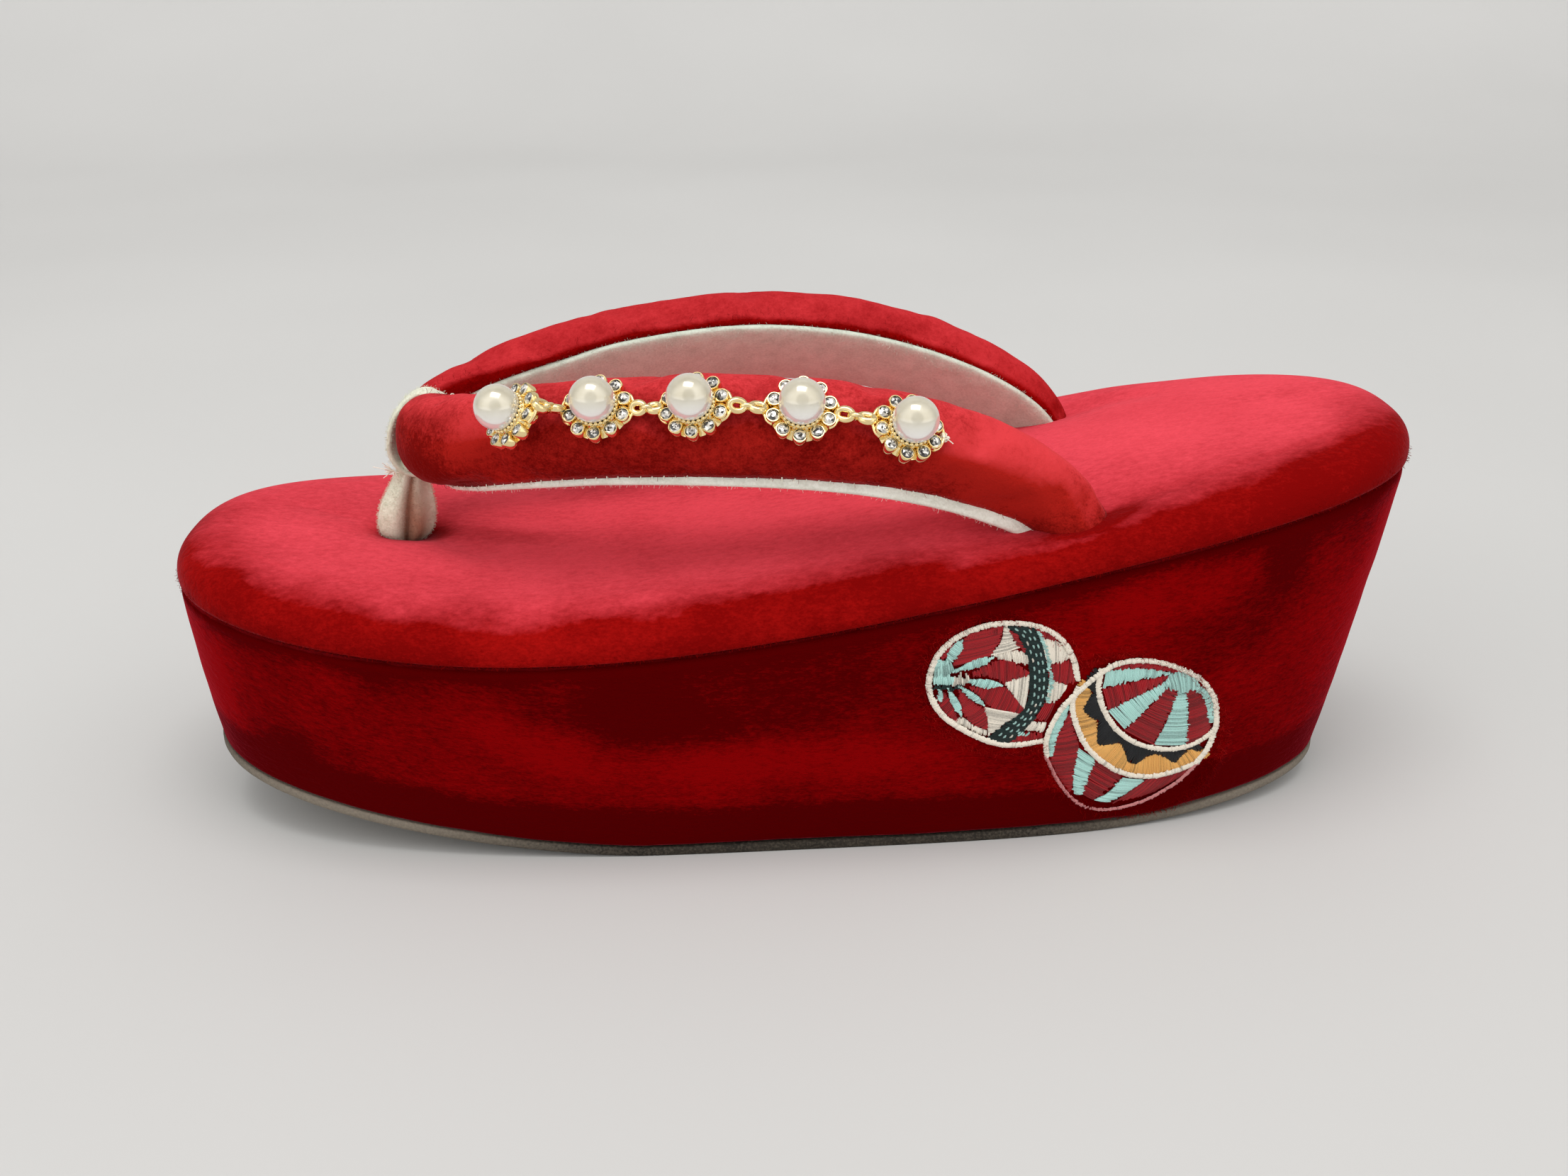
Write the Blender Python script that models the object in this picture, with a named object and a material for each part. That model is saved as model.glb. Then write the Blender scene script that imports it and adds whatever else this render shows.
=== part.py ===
"""Zori sandal, the left shoe of a pair.

A tall velvet-covered platform with a rocker bottom and a thin outsole, a padded
footbed, two padded bands sewn into one V, a cloth toe post whose loop ties the
front of the V, and a chain of five pearl rosettes on the outer band.

Sizes are in millimetres and become metres when a mesh is made. The toe is at -X,
the heel at +X, the outer side of the foot at -Y, and the floor is Z = 0.
"""
import math
from collections import namedtuple

import bmesh
import bpy
from mathutils import Matrix, Vector

METRES = 0.001
MERGE_DISTANCE = 0.00001

# Driving dimensions of the sole
LENGTH = 240.0
MID_HALF_WIDTH = 44.35
TAPER_TO_HEEL = -3.95
SPREAD_AT_ENDS = 3.14
TOE_ROUNDNESS = 2.585
HEEL_ROUNDNESS = 2.883
SIDE_ROUNDNESS = 2.392
PLAN_STEPS = 72

# Rocker bottom: the sole is flat between the two starts and rises to its ends
TOE_RISE = 14.7
TOE_RISE_START = -30.0
TOE_RISE_POWER = 1.45
HEEL_RISE = 6.4
HEEL_RISE_START = 54.0
HEEL_RISE_POWER = 1.6
OUTSOLE_THICKNESS = 1.8
OUTSOLE_EDGE = 0.6
GAP = 0.3

# The wall leans in from the seam down to the floor by these amounts
WALL_LEAN_SIDE = 8.1
WALL_LEAN_TOE = 3.1
WALL_LEAN_HEEL = 10.6
WALL_FULLNESS = 0.5

# Footbed pad above the seam, its shoulder read at these turns of a quarter round
PAD_HEIGHT = 9.8
PAD_SHOULDER = 10.7
PAD_OVERHANG = 1.0
PAD_UNDERCUT = 1.5
PAD_TURNS = (4, 16, 30, 45, 60, 75, 90)

# Bands of the V
BAND_STEPS = 30
DOME_POINTS = 11
BACK_POINTS = 7
DOME_FULLNESS = 2.5
BACK_SWELL = 1.3
FULL_PAD = 10.4
FRONT_END_ROUNDING = 6.0
FRONT_END_BLUNTNESS = 0.4
FRONT_END_SMALLEST = 0.3
FRONT_END_PAD = 0.35
SMOOTH_ANGLE = 40.0

# Toe post and its loop round the front of the V
POST_STEPS = 16
POST_SIDES = 16
LOOP_SIDES = 8
LOOP_STEPS = 36
LOOP_THICKNESS = 1.5

# Pearl chain
PEARL_RADIUS = 3.9
PEARL_HEIGHT = 4.75
PEARL_SEGMENTS = 16
PEARL_BANDS = 9
CUP_COUNT = 10
CUP_RING_RADIUS = 5.0
CUP_RADIUS = 1.28
CUP_HEIGHT = 2.0
CUP_FOOT_HEIGHT = 0.5
CUP_FOOT_INSET = 0.25
CUP_SWINGS = (-75, -25, 25, 75)
SEAT_RADIUS = 3.5
DISH_RADIUS = 1.9
DISH_HEIGHT = 0.6
LINK_WIRE = 0.45
LINK_WIDTH = 2.4
LINK_OVERLAP = 0.12
LINK_STANDOFF = 1.5
LINK_BENDS = 12
LINK_SIDES = 6

# The wall's rings: how far up it they lie, and how far in from its face
WallRow = namedtuple("WallRow", "share inset")
WALL = (
    WallRow(share=0.00, inset=0.8),
    WallRow(share=0.02, inset=0.0),
    WallRow(share=0.35, inset=0.0),
    WallRow(share=0.70, inset=0.0),
    WallRow(share=0.96, inset=0.0),
    WallRow(share=0.99, inset=0.5),
    WallRow(share=1.00, inset=1.6),
)

# The seam between the wall and the footbed
Level = namedtuple("Level", "along height")
SEAM = (
    Level(along=-120.0, height=49.4),
    Level(along=-90.0, height=45.8),
    Level(along=-60.0, height=43.8),
    Level(along=-30.0, height=44.7),
    Level(along=0.0, height=48.2),
    Level(along=30.0, height=53.5),
    Level(along=60.0, height=59.3),
    Level(along=90.0, height=64.5),
    Level(along=120.0, height=69.2),
)

# A band's row gives the middle of its flat back, how far its face leans from
# straight up towards the outside, the band's width and the pad's thickness.
# Out is measured from the middle plane towards the band's own side of the foot.
Station = namedtuple("Station", "along out height lean width pad")
OUTER_BAND = (
    Station(along=-73.4, out=-1.6, height=74.4, lean=88.0, width=14.6, pad=6.6),
    Station(along=-71.2, out=-0.5, height=74.5, lean=87.0, width=15.6, pad=7.6),
    Station(along=-68.2, out=4.0, height=74.7, lean=84.0, width=16.4, pad=8.6),
    Station(along=-62.4, out=9.8, height=75.4, lean=68.0, width=17.2, pad=9.5),
    Station(along=-48.4, out=17.6, height=78.2, lean=49.5, width=17.7, pad=10.4),
    Station(along=-33.4, out=22.0, height=80.5, lean=48.5, width=18.1, pad=10.4),
    Station(along=-12.0, out=26.4, height=81.7, lean=47.0, width=18.4, pad=10.4),
    Station(along=6.8, out=27.9, height=80.6, lean=46.0, width=17.8, pad=10.4),
    Station(along=22.0, out=28.2, height=77.7, lean=46.5, width=16.6, pad=10.2),
    Station(along=35.0, out=28.0, height=73.0, lean=49.0, width=14.6, pad=9.6),
    Station(along=44.2, out=27.9, height=67.4, lean=52.0, width=12.4, pad=8.8),
    Station(along=49.4, out=28.0, height=61.4, lean=55.0, width=11.4, pad=8.2),
)
INNER_BAND_NARROWING = 0.79
INNER_BAND_SETBACK = 4.7
INNER_BAND_ARCH = 2.8

# The toe post's rows, from inside the footbed up to the underside of the V
PostRow = namedtuple("PostRow", "height along length width")
TOE_POST = (
    PostRow(height=47.5, along=-76.8, length=7.0, width=6.4),
    PostRow(height=52.4, along=-76.8, length=8.6, width=8.0),
    PostRow(height=54.6, along=-76.8, length=10.6, width=9.4),
    PostRow(height=57.0, along=-76.7, length=11.0, width=9.6),
    PostRow(height=60.0, along=-75.9, length=9.4, width=8.2),
    PostRow(height=63.0, along=-74.9, length=7.2, width=6.4),
    PostRow(height=66.0, along=-73.6, length=5.2, width=4.6),
    PostRow(height=67.8, along=-72.6, length=3.8, width=3.4),
)

# The loop's middle line, a closed oval in the middle plane, from the post forward
LoopRow = namedtuple("LoopRow", "along height width")
TOE_LOOP = (
    LoopRow(along=-70.8, height=67.2, width=3.6),
    LoopRow(along=-73.8, height=69.2, width=3.6),
    LoopRow(along=-76.2, height=71.4, width=3.6),
    LoopRow(along=-77.2, height=74.7, width=3.6),
    LoopRow(along=-76.2, height=78.2, width=3.6),
    LoopRow(along=-74.0, height=80.9, width=3.6),
    LoopRow(along=-71.4, height=83.2, width=3.6),
    LoopRow(along=-68.8, height=84.2, width=3.2),
    LoopRow(along=-66.4, height=82.9, width=2.6),
    LoopRow(along=-66.0, height=79.5, width=2.4),
    LoopRow(along=-66.7, height=75.5, width=2.4),
    LoopRow(along=-67.5, height=71.5, width=2.6),
    LoopRow(along=-68.6, height=68.4, width=3.2),
)

# A rosette's row gives its share of the way along the band, how far it sits
# above the band's middle, which way it faces, and how far it stands off the pad
Rosette = namedtuple("Rosette", "share across turn rise lift")
ROSETTES = (
    Rosette(share=0.240, across=-3.0, turn=-58.0, rise=36.0, lift=3.5),
    Rosette(share=0.326, across=-1.1, turn=-16.0, rise=43.0, lift=0.5),
    Rosette(share=0.452, across=-1.4, turn=-20.0, rise=43.0, lift=0.95),
    Rosette(share=0.577, across=-1.4, turn=0.0, rise=43.0, lift=0.40),
    Rosette(share=0.707, across=-2.6, turn=20.0, rise=41.0, lift=1.1),
)

Finish = namedtuple("Finish", "red green blue roughness metallic")
VELVET = Finish(red=0.42, green=0.015, blue=0.022, roughness=0.9, metallic=0.0)
DEEP_VELVET = Finish(red=0.20, green=0.004, blue=0.007, roughness=0.92, metallic=0.0)
COTTON = Finish(red=0.74, green=0.66, blue=0.56, roughness=0.95, metallic=0.0)
GREY_RUBBER = Finish(red=0.16, green=0.14, blue=0.12, roughness=0.8, metallic=0.0)
GOLD = Finish(red=0.83, green=0.62, blue=0.30, roughness=0.2, metallic=1.0)
PEARL = Finish(red=0.88, green=0.85, blue=0.78, roughness=0.18, metallic=0.0)


def clear_scene():
    """Removes every object of the open scene."""
    for item in list(bpy.data.objects):
        bpy.data.objects.remove(item, do_unlink=True)


def make_material(name, finish):
    """Returns a Principled material with the finish's colour."""
    material = bpy.data.materials.new(name)
    material.use_nodes = True
    shader = material.node_tree.nodes["Principled BSDF"]
    shader.inputs["Base Color"].default_value = (finish.red, finish.green, finish.blue, 1.0)
    shader.inputs["Roughness"].default_value = finish.roughness
    shader.inputs["Metallic"].default_value = finish.metallic
    material.diffuse_color = (finish.red, finish.green, finish.blue, 1.0)
    return material


def make_solid(name, points, faces, material):
    """Makes one closed mesh object in metres, with its faces pointing out."""
    mesh = bpy.data.meshes.new(name)
    mesh.from_pydata([Vector(p) * METRES for p in points], [], faces)
    shell = bmesh.new()
    shell.from_mesh(mesh)
    bmesh.ops.remove_doubles(shell, verts=shell.verts, dist=MERGE_DISTANCE)
    bmesh.ops.recalc_face_normals(shell, faces=shell.faces)
    shell.to_mesh(mesh)
    shell.free()
    mesh.shade_smooth()
    mesh.set_sharp_from_angle(angle=math.radians(SMOOTH_ANGLE))
    item = bpy.data.objects.new(name, mesh)
    bpy.context.scene.collection.objects.link(item)
    if material is not None:
        mesh.materials.append(material)
    return item


def loft(rings, closed=False):
    """Skins rings of equal length. Returns the points and the quads between rings."""
    count = len(rings[0])
    points = [point for ring in rings for point in ring]
    faces = []
    last = len(rings) if closed else len(rings) - 1
    for row in range(last):
        lower = row * count
        upper = ((row + 1) % len(rings)) * count
        for k in range(count):
            after = (k + 1) % count
            faces.append((lower + k, lower + after, upper + after, upper + k))
    return points, faces


def plan_cap(first, count):
    """Closes a plan ring with rungs across it, from the toe to the heel."""
    half = count // 2
    faces = [(first, first + 1, first + count - 1)]
    for k in range(1, half - 1):
        faces.append((first + k, first + k + 1, first + count - k - 1, first + count - k))
    faces.append((first + half - 1, first + half, first + half + 1))
    return faces


def read_table(rows, steps, closed=False):
    """Reads a table at even steps of a smooth curve through its rows, as new rows."""
    kind = type(rows[0])
    rows = list(rows)
    if closed:
        rows.append(rows[0])
    reach = [0.0]
    for before, after in zip(rows, rows[1:]):
        run = math.dist((before.along, before.height), (after.along, after.height))
        reach.append(reach[-1] + run)
    last = len(rows) - 1
    slopes = []
    for k in range(len(rows)):
        low = max(k - 1, 0)
        high = min(k + 1, last)
        run = reach[high] - reach[low]
        if closed and k in (0, last):
            low = last - 1
            high = 1
            run = reach[last] - reach[last - 1] + reach[1]
        slopes.append([(b - a) / run for a, b in zip(rows[low], rows[high])])
    result = []
    for step in range(steps if closed else steps + 1):
        place = reach[-1] * step / steps
        k = 0
        while k < last - 1 and place > reach[k + 1]:
            k += 1
        run = reach[k + 1] - reach[k]
        u = (place - reach[k]) / run
        start_weight = (1 + 2 * u) * (1 - u) ** 2
        start_slope = u * (1 - u) ** 2 * run
        end_weight = u * u * (3 - 2 * u)
        end_slope = u * u * (u - 1) * run
        values = []
        for column in range(len(rows[0])):
            value = start_weight * rows[k][column] + start_slope * slopes[k][column]
            value += end_weight * rows[k + 1][column] + end_slope * slopes[k + 1][column]
            values.append(value)
        result.append(kind(*values))
    return result


def level_at(rows, along):
    """Height of a smooth curve through evenly spaced levels, at one place along."""
    pitch = rows[1].along - rows[0].along
    place = (along - rows[0].along) / pitch
    k = min(max(int(math.floor(place)), 0), len(rows) - 2)
    u = place - k
    start = rows[k].height
    end = rows[k + 1].height
    before = rows[k - 1].height if k > 0 else 2 * start - end
    after = rows[k + 2].height if k + 2 < len(rows) else 2 * end - start
    start_slope = (end - before) / 2
    end_slope = (after - start) / 2
    return (
        (1 + 2 * u) * (1 - u) ** 2 * start + u * (1 - u) ** 2 * start_slope
        + u * u * (3 - 2 * u) * end + u * u * (u - 1) * end_slope
    )


def sole_height(along):
    """Height of the rocker bottom at one place along."""
    half = LENGTH / 2
    toe = max(0.0, (TOE_RISE_START - along) / (half + TOE_RISE_START))
    heel = max(0.0, (along - HEEL_RISE_START) / (half - HEEL_RISE_START))
    return TOE_RISE * toe ** TOE_RISE_POWER + HEEL_RISE * heel ** HEEL_RISE_POWER


def plan_outline():
    """Points of the plan at the seam, from the toe round the outer side to the heel."""
    points = []
    for k in range(PLAN_STEPS):
        angle = 2 * math.pi * k / PLAN_STEPS
        reach = -math.cos(angle)
        roundness = TOE_ROUNDNESS if reach < 0 else HEEL_ROUNDNESS
        share = math.copysign(abs(reach) ** (2 / roundness), reach)
        share = min(max(share, -1.0), 1.0)
        half_width = MID_HALF_WIDTH + TAPER_TO_HEEL * share + SPREAD_AT_ENDS * share * share
        fullness = max(0.0, 1 - abs(share) ** roundness) ** (1 / SIDE_ROUNDNESS)
        side = -1.0 if k < PLAN_STEPS / 2 else 1.0
        points.append(Vector((share * LENGTH / 2, side * half_width * fullness, 0.0)))
    return points


def outward(points):
    """Unit vectors that point out of a closed plan ring."""
    result = []
    for k in range(len(points)):
        run = points[(k + 1) % len(points)] - points[k - 1]
        result.append(Vector((run.y, -run.x, 0.0)).normalized())
    return result


def lean_at(along):
    """How far the wall leans in at its foot, at one place along the seam."""
    share = along / (LENGTH / 2)
    end = WALL_LEAN_TOE if share < 0 else WALL_LEAN_HEEL
    return WALL_LEAN_SIDE + (end - WALL_LEAN_SIDE) * share ** 4


def plan_ring(inset_at, height_at):
    """A plan ring moved in by one function and raised by another."""
    seam = plan_outline()
    ring = []
    for point, direction in zip(seam, outward(seam)):
        moved = point - direction * inset_at(point.x)
        ring.append(Vector((moved.x, moved.y, height_at(moved.x))))
    return ring


def make_outsole(material):
    """The thin sheet under the platform, flat between the two rises."""
    rings = [
        plan_ring(lambda x: lean_at(x) + OUTSOLE_EDGE, sole_height),
        plan_ring(lean_at, lambda x: sole_height(x) + OUTSOLE_EDGE),
        plan_ring(lean_at, lambda x: sole_height(x) + OUTSOLE_THICKNESS),
    ]
    points, faces = loft(rings)
    faces += plan_cap(0, PLAN_STEPS)
    faces += plan_cap(PLAN_STEPS * (len(rings) - 1), PLAN_STEPS)
    return make_solid("outsole", points, faces, material)


def make_platform(material):
    """The core from the outsole up to the seam, its wall leaning in at the foot."""
    foot = OUTSOLE_THICKNESS + GAP

    def wall_ring(row):
        bulge = WALL_FULLNESS * math.sin(math.pi * row.share)

        def inset(x):
            return lean_at(x) * (1 - row.share) - bulge + row.inset

        def height(x):
            low = sole_height(x) + foot
            return low + (level_at(SEAM, x) - low) * row.share

        return plan_ring(inset, height)

    rings = [wall_ring(row) for row in WALL]
    points, faces = loft(rings)
    faces += plan_cap(0, PLAN_STEPS)
    faces += plan_cap(PLAN_STEPS * (len(rings) - 1), PLAN_STEPS)
    return make_solid("platform", points, faces, material)


def make_footbed(material, cutters):
    """The crowned pad above the seam, with sockets for the bands and the post."""
    def pad_ring(turn):
        angle = math.radians(turn)
        inset = PAD_SHOULDER * (1 - math.cos(angle)) - PAD_OVERHANG * math.sin(2 * angle)
        return plan_ring(
            lambda x: inset,
            lambda x: level_at(SEAM, x) + GAP + (PAD_HEIGHT - GAP) * math.sin(angle),
        )

    bottom = plan_ring(lambda x: PAD_UNDERCUT, lambda x: level_at(SEAM, x) + GAP)
    rings = [bottom] + [pad_ring(turn) for turn in PAD_TURNS]
    points, faces = loft(rings)
    faces += plan_cap(0, PLAN_STEPS)
    faces += plan_cap(PLAN_STEPS * (len(rings) - 1), PLAN_STEPS)
    footbed = make_solid("footbed", points, faces, material)
    for cutter in cutters:
        add_boolean(footbed, cutter, "DIFFERENCE")
    return footbed


def add_boolean(item, other, operation):
    """Adds a Boolean modifier and hides the other object, which is only a tool."""
    modifier = item.modifiers.new(operation.title() + " " + other.name, "BOOLEAN")
    modifier.operation = operation
    modifier.object = other
    modifier.solver = "EXACT"
    other.hide_render = True
    other.display_type = "WIRE"


def band_sections(side):
    """The band's stations at even steps, with the frame of each one.

    side is -1 for the outer band and 1 for the inner one. Each entry is the
    station, the middle of its flat back, its direction, the unit vector up its
    face and the unit vector out of its face.
    """
    stations = read_table(OUTER_BAND, BAND_STEPS)
    backs = []
    for k, station in enumerate(stations):
        share = k / BAND_STEPS
        back = Vector((station.along, side * station.out, station.height))
        if side > 0:
            back.x += INNER_BAND_SETBACK * share
            back.y *= INNER_BAND_NARROWING
            back.z += INNER_BAND_ARCH * math.sin(math.pi * share)
        backs.append(back)
    sections = []
    for k, station in enumerate(stations):
        low = max(k - 1, 0)
        high = min(k + 1, BAND_STEPS)
        direction = (backs[high] - backs[low]).normalized()
        outer = direction.cross(Vector((0.0, 0.0, 1.0))).normalized()
        if outer.y * side < 0:
            outer = -outer
        top = outer.cross(direction).normalized()
        if top.z < 0:
            top = -top
        lean = math.radians(station.lean)
        facing = math.cos(lean) * top + math.sin(lean) * outer
        upward = math.sin(lean) * top - math.cos(lean) * outer
        sections.append((station, backs[k], direction, upward, facing))
    return sections


def band_ring(section, swell, shrink):
    """One section of a band: a domed face and a slightly swelled back."""
    station, back, direction, upward, facing = section
    half = station.width / 2 * shrink + swell
    pad = station.pad * (FRONT_END_PAD + (1 - FRONT_END_PAD) * shrink) + swell
    middle = back + facing * station.pad * FRONT_END_PAD * (1 - shrink)
    power = 2 / DOME_FULLNESS
    ring = []
    for k in range(DOME_POINTS):
        angle = math.pi * k / (DOME_POINTS - 1)
        across = math.copysign(abs(math.cos(angle)) ** power, math.cos(angle))
        height = math.sin(angle) ** power
        ring.append(middle + upward * half * across + facing * pad * height)
    for k in range(1, BACK_POINTS - 1):
        angle = math.pi * k / (BACK_POINTS - 1)
        depth = (BACK_SWELL * shrink * station.pad / FULL_PAD + swell) * math.sin(angle)
        ring.append(middle - upward * half * math.cos(angle) - facing * depth)
    return ring


def make_band(name, side, material, swell=0.0):
    """One padded band, rounded at its front end and cut flat in its socket."""
    rings = []
    sections = band_sections(side)
    travelled = 0.0
    for k, section in enumerate(sections):
        if k > 0:
            travelled += (section[1] - sections[k - 1][1]).length
        missing = max(0.0, 1 - (travelled + FRONT_END_BLUNTNESS) / FRONT_END_ROUNDING)
        shrink = math.sqrt(1 - missing * missing)
        rings.append(band_ring(section, swell, max(shrink, FRONT_END_SMALLEST)))
    if swell > 0:
        tip = [point + sections[-1][2] * swell for point in rings[-1]]
        rings.append(tip)
    count = len(rings[0])
    points, faces = loft(rings)
    faces.append(tuple(range(count)))
    faces.append(tuple(range(count * (len(rings) - 1), count * len(rings))))
    return make_solid(name, points, faces, material)


def make_strap(material):
    """The two bands joined at the front into one V."""
    strap = make_band("strap", -1, material)
    other = make_band("inner_band_tool", 1, material)
    add_boolean(strap, other, "UNION")
    return strap


def oval(middle, first, second, half_length, half_width, count):
    """Points of an ellipse in the plane of two unit vectors."""
    ring = []
    for k in range(count):
        angle = 2 * math.pi * k / count
        along = first * half_length * math.cos(angle)
        across = second * half_width * math.sin(angle)
        ring.append(middle + along + across)
    return ring


def make_post_body(name, material, swell=0.0):
    """The drop-shaped part of the toe post, from its socket up to the loop."""
    lengthwise = Vector((1.0, 0.0, 0.0))
    crosswise = Vector((0.0, 1.0, 0.0))
    rings = []
    for row in read_table(TOE_POST, POST_STEPS):
        middle = Vector((row.along, 0.0, row.height - swell))
        half_length = row.length / 2 + swell
        half_width = row.width / 2 + swell
        rings.append(oval(middle, lengthwise, crosswise, half_length, half_width, POST_SIDES))
    count = len(rings[0])
    points, faces = loft(rings)
    faces.append(tuple(range(count)))
    faces.append(tuple(range(count * (len(rings) - 1), count * len(rings))))
    return make_solid(name, points, faces, material)


def make_toe_post(material):
    """The post and the loop that ties the front of the V, as one piece."""
    rows = read_table(TOE_LOOP, LOOP_STEPS, closed=True)
    line = [Vector((row.along, 0.0, row.height)) for row in rows]
    side = Vector((0.0, 1.0, 0.0))
    rings = []
    for k, middle in enumerate(line):
        run = (line[(k + 1) % len(line)] - line[k - 1]).normalized()
        across = run.cross(side)
        rings.append(oval(middle, side, across, rows[k].width / 2, LOOP_THICKNESS / 2, LOOP_SIDES))
    points, faces = loft(rings, closed=True)
    loop = make_solid("toe_loop_tool", points, faces, material)
    post = make_post_body("toe_post", material)
    add_boolean(post, loop, "UNION")
    return post


def rosette_frame(row):
    """The base point of a rosette, the unit vector it faces and its chain direction."""
    sections = band_sections(-1)
    place = row.share * BAND_STEPS
    k = int(place)
    u = place - k
    low = sections[k]
    high = sections[k + 1]
    back = low[1].lerp(high[1], u)
    upward = low[3].lerp(high[3], u).normalized()
    facing = low[4].lerp(high[4], u).normalized()
    direction = low[2].lerp(high[2], u).normalized()
    half = low[0].width / 2
    share = min(abs(row.across) / half, 0.99)
    height = low[0].pad * (1 - share ** DOME_FULLNESS) ** (1 / DOME_FULLNESS)
    surface = back + upward * row.across + facing * height
    turn = math.radians(row.turn)
    rise = math.radians(row.rise)
    axis = Vector((math.sin(turn) * math.cos(rise), -math.cos(turn) * math.cos(rise), math.sin(rise)))
    chain = (direction - axis * direction.dot(axis)).normalized()
    return surface + axis * row.lift, axis, chain


def make_rosette(name, row, material):
    """A gold flower mount: a ring of fused cups round a dished seat."""
    base, axis, chain = rosette_frame(row)
    side = axis.cross(chain)

    def petals(radius, height):
        points = []
        for cup in range(CUP_COUNT):
            middle = 2 * math.pi * (cup + 0.5) / CUP_COUNT
            for swing in CUP_SWINGS:
                angle = middle + math.radians(swing)
                x = CUP_RING_RADIUS * math.cos(middle) + radius * math.cos(angle)
                y = CUP_RING_RADIUS * math.sin(middle) + radius * math.sin(angle)
                points.append(base + chain * x + side * y + axis * height)
        return points

    def circle(radius, height):
        points = []
        count = CUP_COUNT * len(CUP_SWINGS)
        for k in range(count):
            angle = 2 * math.pi * (k + 0.5) / count
            across = chain * math.cos(angle) + side * math.sin(angle)
            points.append(base + across * radius + axis * height)
        return points

    rings = [
        petals(CUP_RADIUS - CUP_FOOT_INSET, 0.0),
        petals(CUP_RADIUS, CUP_FOOT_HEIGHT),
        petals(CUP_RADIUS, CUP_HEIGHT),
        circle(SEAT_RADIUS, CUP_HEIGHT),
        circle(DISH_RADIUS, DISH_HEIGHT),
    ]
    count = len(rings[0])
    points, faces = loft(rings)
    faces.append(tuple(range(count)))
    faces.append(tuple(range(count * (len(rings) - 1), count * len(rings))))
    return make_solid(name, points, faces, material)


def make_pearl(name, row, material):
    """The pearl that sits in a rosette."""
    base, axis, chain = rosette_frame(row)
    ball = bmesh.new()
    bmesh.ops.create_uvsphere(
        ball, u_segments=PEARL_SEGMENTS, v_segments=PEARL_BANDS, radius=PEARL_RADIUS
    )
    turn = axis.to_track_quat("Z", "Y").to_matrix().to_4x4()
    place = Matrix.Translation(base + axis * PEARL_HEIGHT)
    bmesh.ops.transform(ball, matrix=place @ turn, verts=ball.verts)
    points = [vertex.co.copy() for vertex in ball.verts]
    faces = [tuple(vertex.index for vertex in face.verts) for face in ball.faces]
    ball.free()
    return make_solid(name, points, faces, material)


def make_link(name, before, after, material):
    """Two crossed oval rings, fused, that join two rosettes."""
    start_base, start_axis, start_chain = rosette_frame(before)
    end_base, end_axis, end_chain = rosette_frame(after)
    reach = CUP_RING_RADIUS + LINK_STANDOFF
    start = start_base + start_chain * reach + start_axis * CUP_HEIGHT / 2
    end = end_base - end_chain * reach + end_axis * CUP_HEIGHT / 2
    run = (end - start).normalized()
    length = (end - start).length
    facing = (start_axis + end_axis).normalized()
    facing = (facing - run * facing.dot(run)).normalized()
    side = facing.cross(run)
    joint = length / 2
    pieces = []
    for low, high, flat in (
        (LINK_WIRE, joint + LINK_OVERLAP, side),
        (joint - LINK_OVERLAP, length - LINK_WIRE, facing),
    ):
        middle = start + run * (low + high) / 2
        line = oval(middle, run, flat, (high - low) / 2, LINK_WIDTH / 2 - LINK_WIRE, LINK_BENDS)
        across = run.cross(flat)
        rings = []
        for point in line:
            away = (point - middle).normalized()
            rings.append(oval(point, away, across, LINK_WIRE, LINK_WIRE, LINK_SIDES))
        points, faces = loft(rings, closed=True)
        pieces.append(make_solid(name if not pieces else name + "_tool", points, faces, material))
    add_boolean(pieces[0], pieces[1], "UNION")
    return pieces[0]


def main():
    """Builds every piece of the shoe."""
    clear_scene()
    velvet = make_material("velvet", VELVET)
    deep_velvet = make_material("deep_velvet", DEEP_VELVET)
    cotton = make_material("cotton", COTTON)
    rubber = make_material("grey_rubber", GREY_RUBBER)
    gold = make_material("gold", GOLD)
    pearl = make_material("pearl", PEARL)

    make_outsole(rubber)
    make_platform(deep_velvet)
    sockets = [
        make_band("outer_socket_tool", -1, None, GAP),
        make_band("inner_socket_tool", 1, None, GAP),
        make_post_body("post_socket_tool", None, GAP),
    ]
    make_footbed(velvet, sockets)
    make_strap(velvet)
    make_toe_post(cotton)
    for k, row in enumerate(ROSETTES, start=1):
        make_rosette(f"rosette_{k}", row, gold)
        make_pearl(f"pearl_{k}", row, pearl)
    for k, (before, after) in enumerate(zip(ROSETTES, ROSETTES[1:]), start=1):
        make_link(f"link_{k}", before, after, gold)


main()
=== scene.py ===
"""Zori sandal, the left shoe: velvet, cotton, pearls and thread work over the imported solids.

Sizes are in millimetres and become metres when a mesh is made. The toe is at -X,
the heel at +X, the outer side of the foot at -Y, and the floor is Z = 0.
"""

import logging
import math
from collections.abc import Callable, Sequence
from dataclasses import dataclass, field
from enum import Enum

import bmesh
import bpy
import numpy as np
from mathutils import Matrix, Vector, noise


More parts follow.
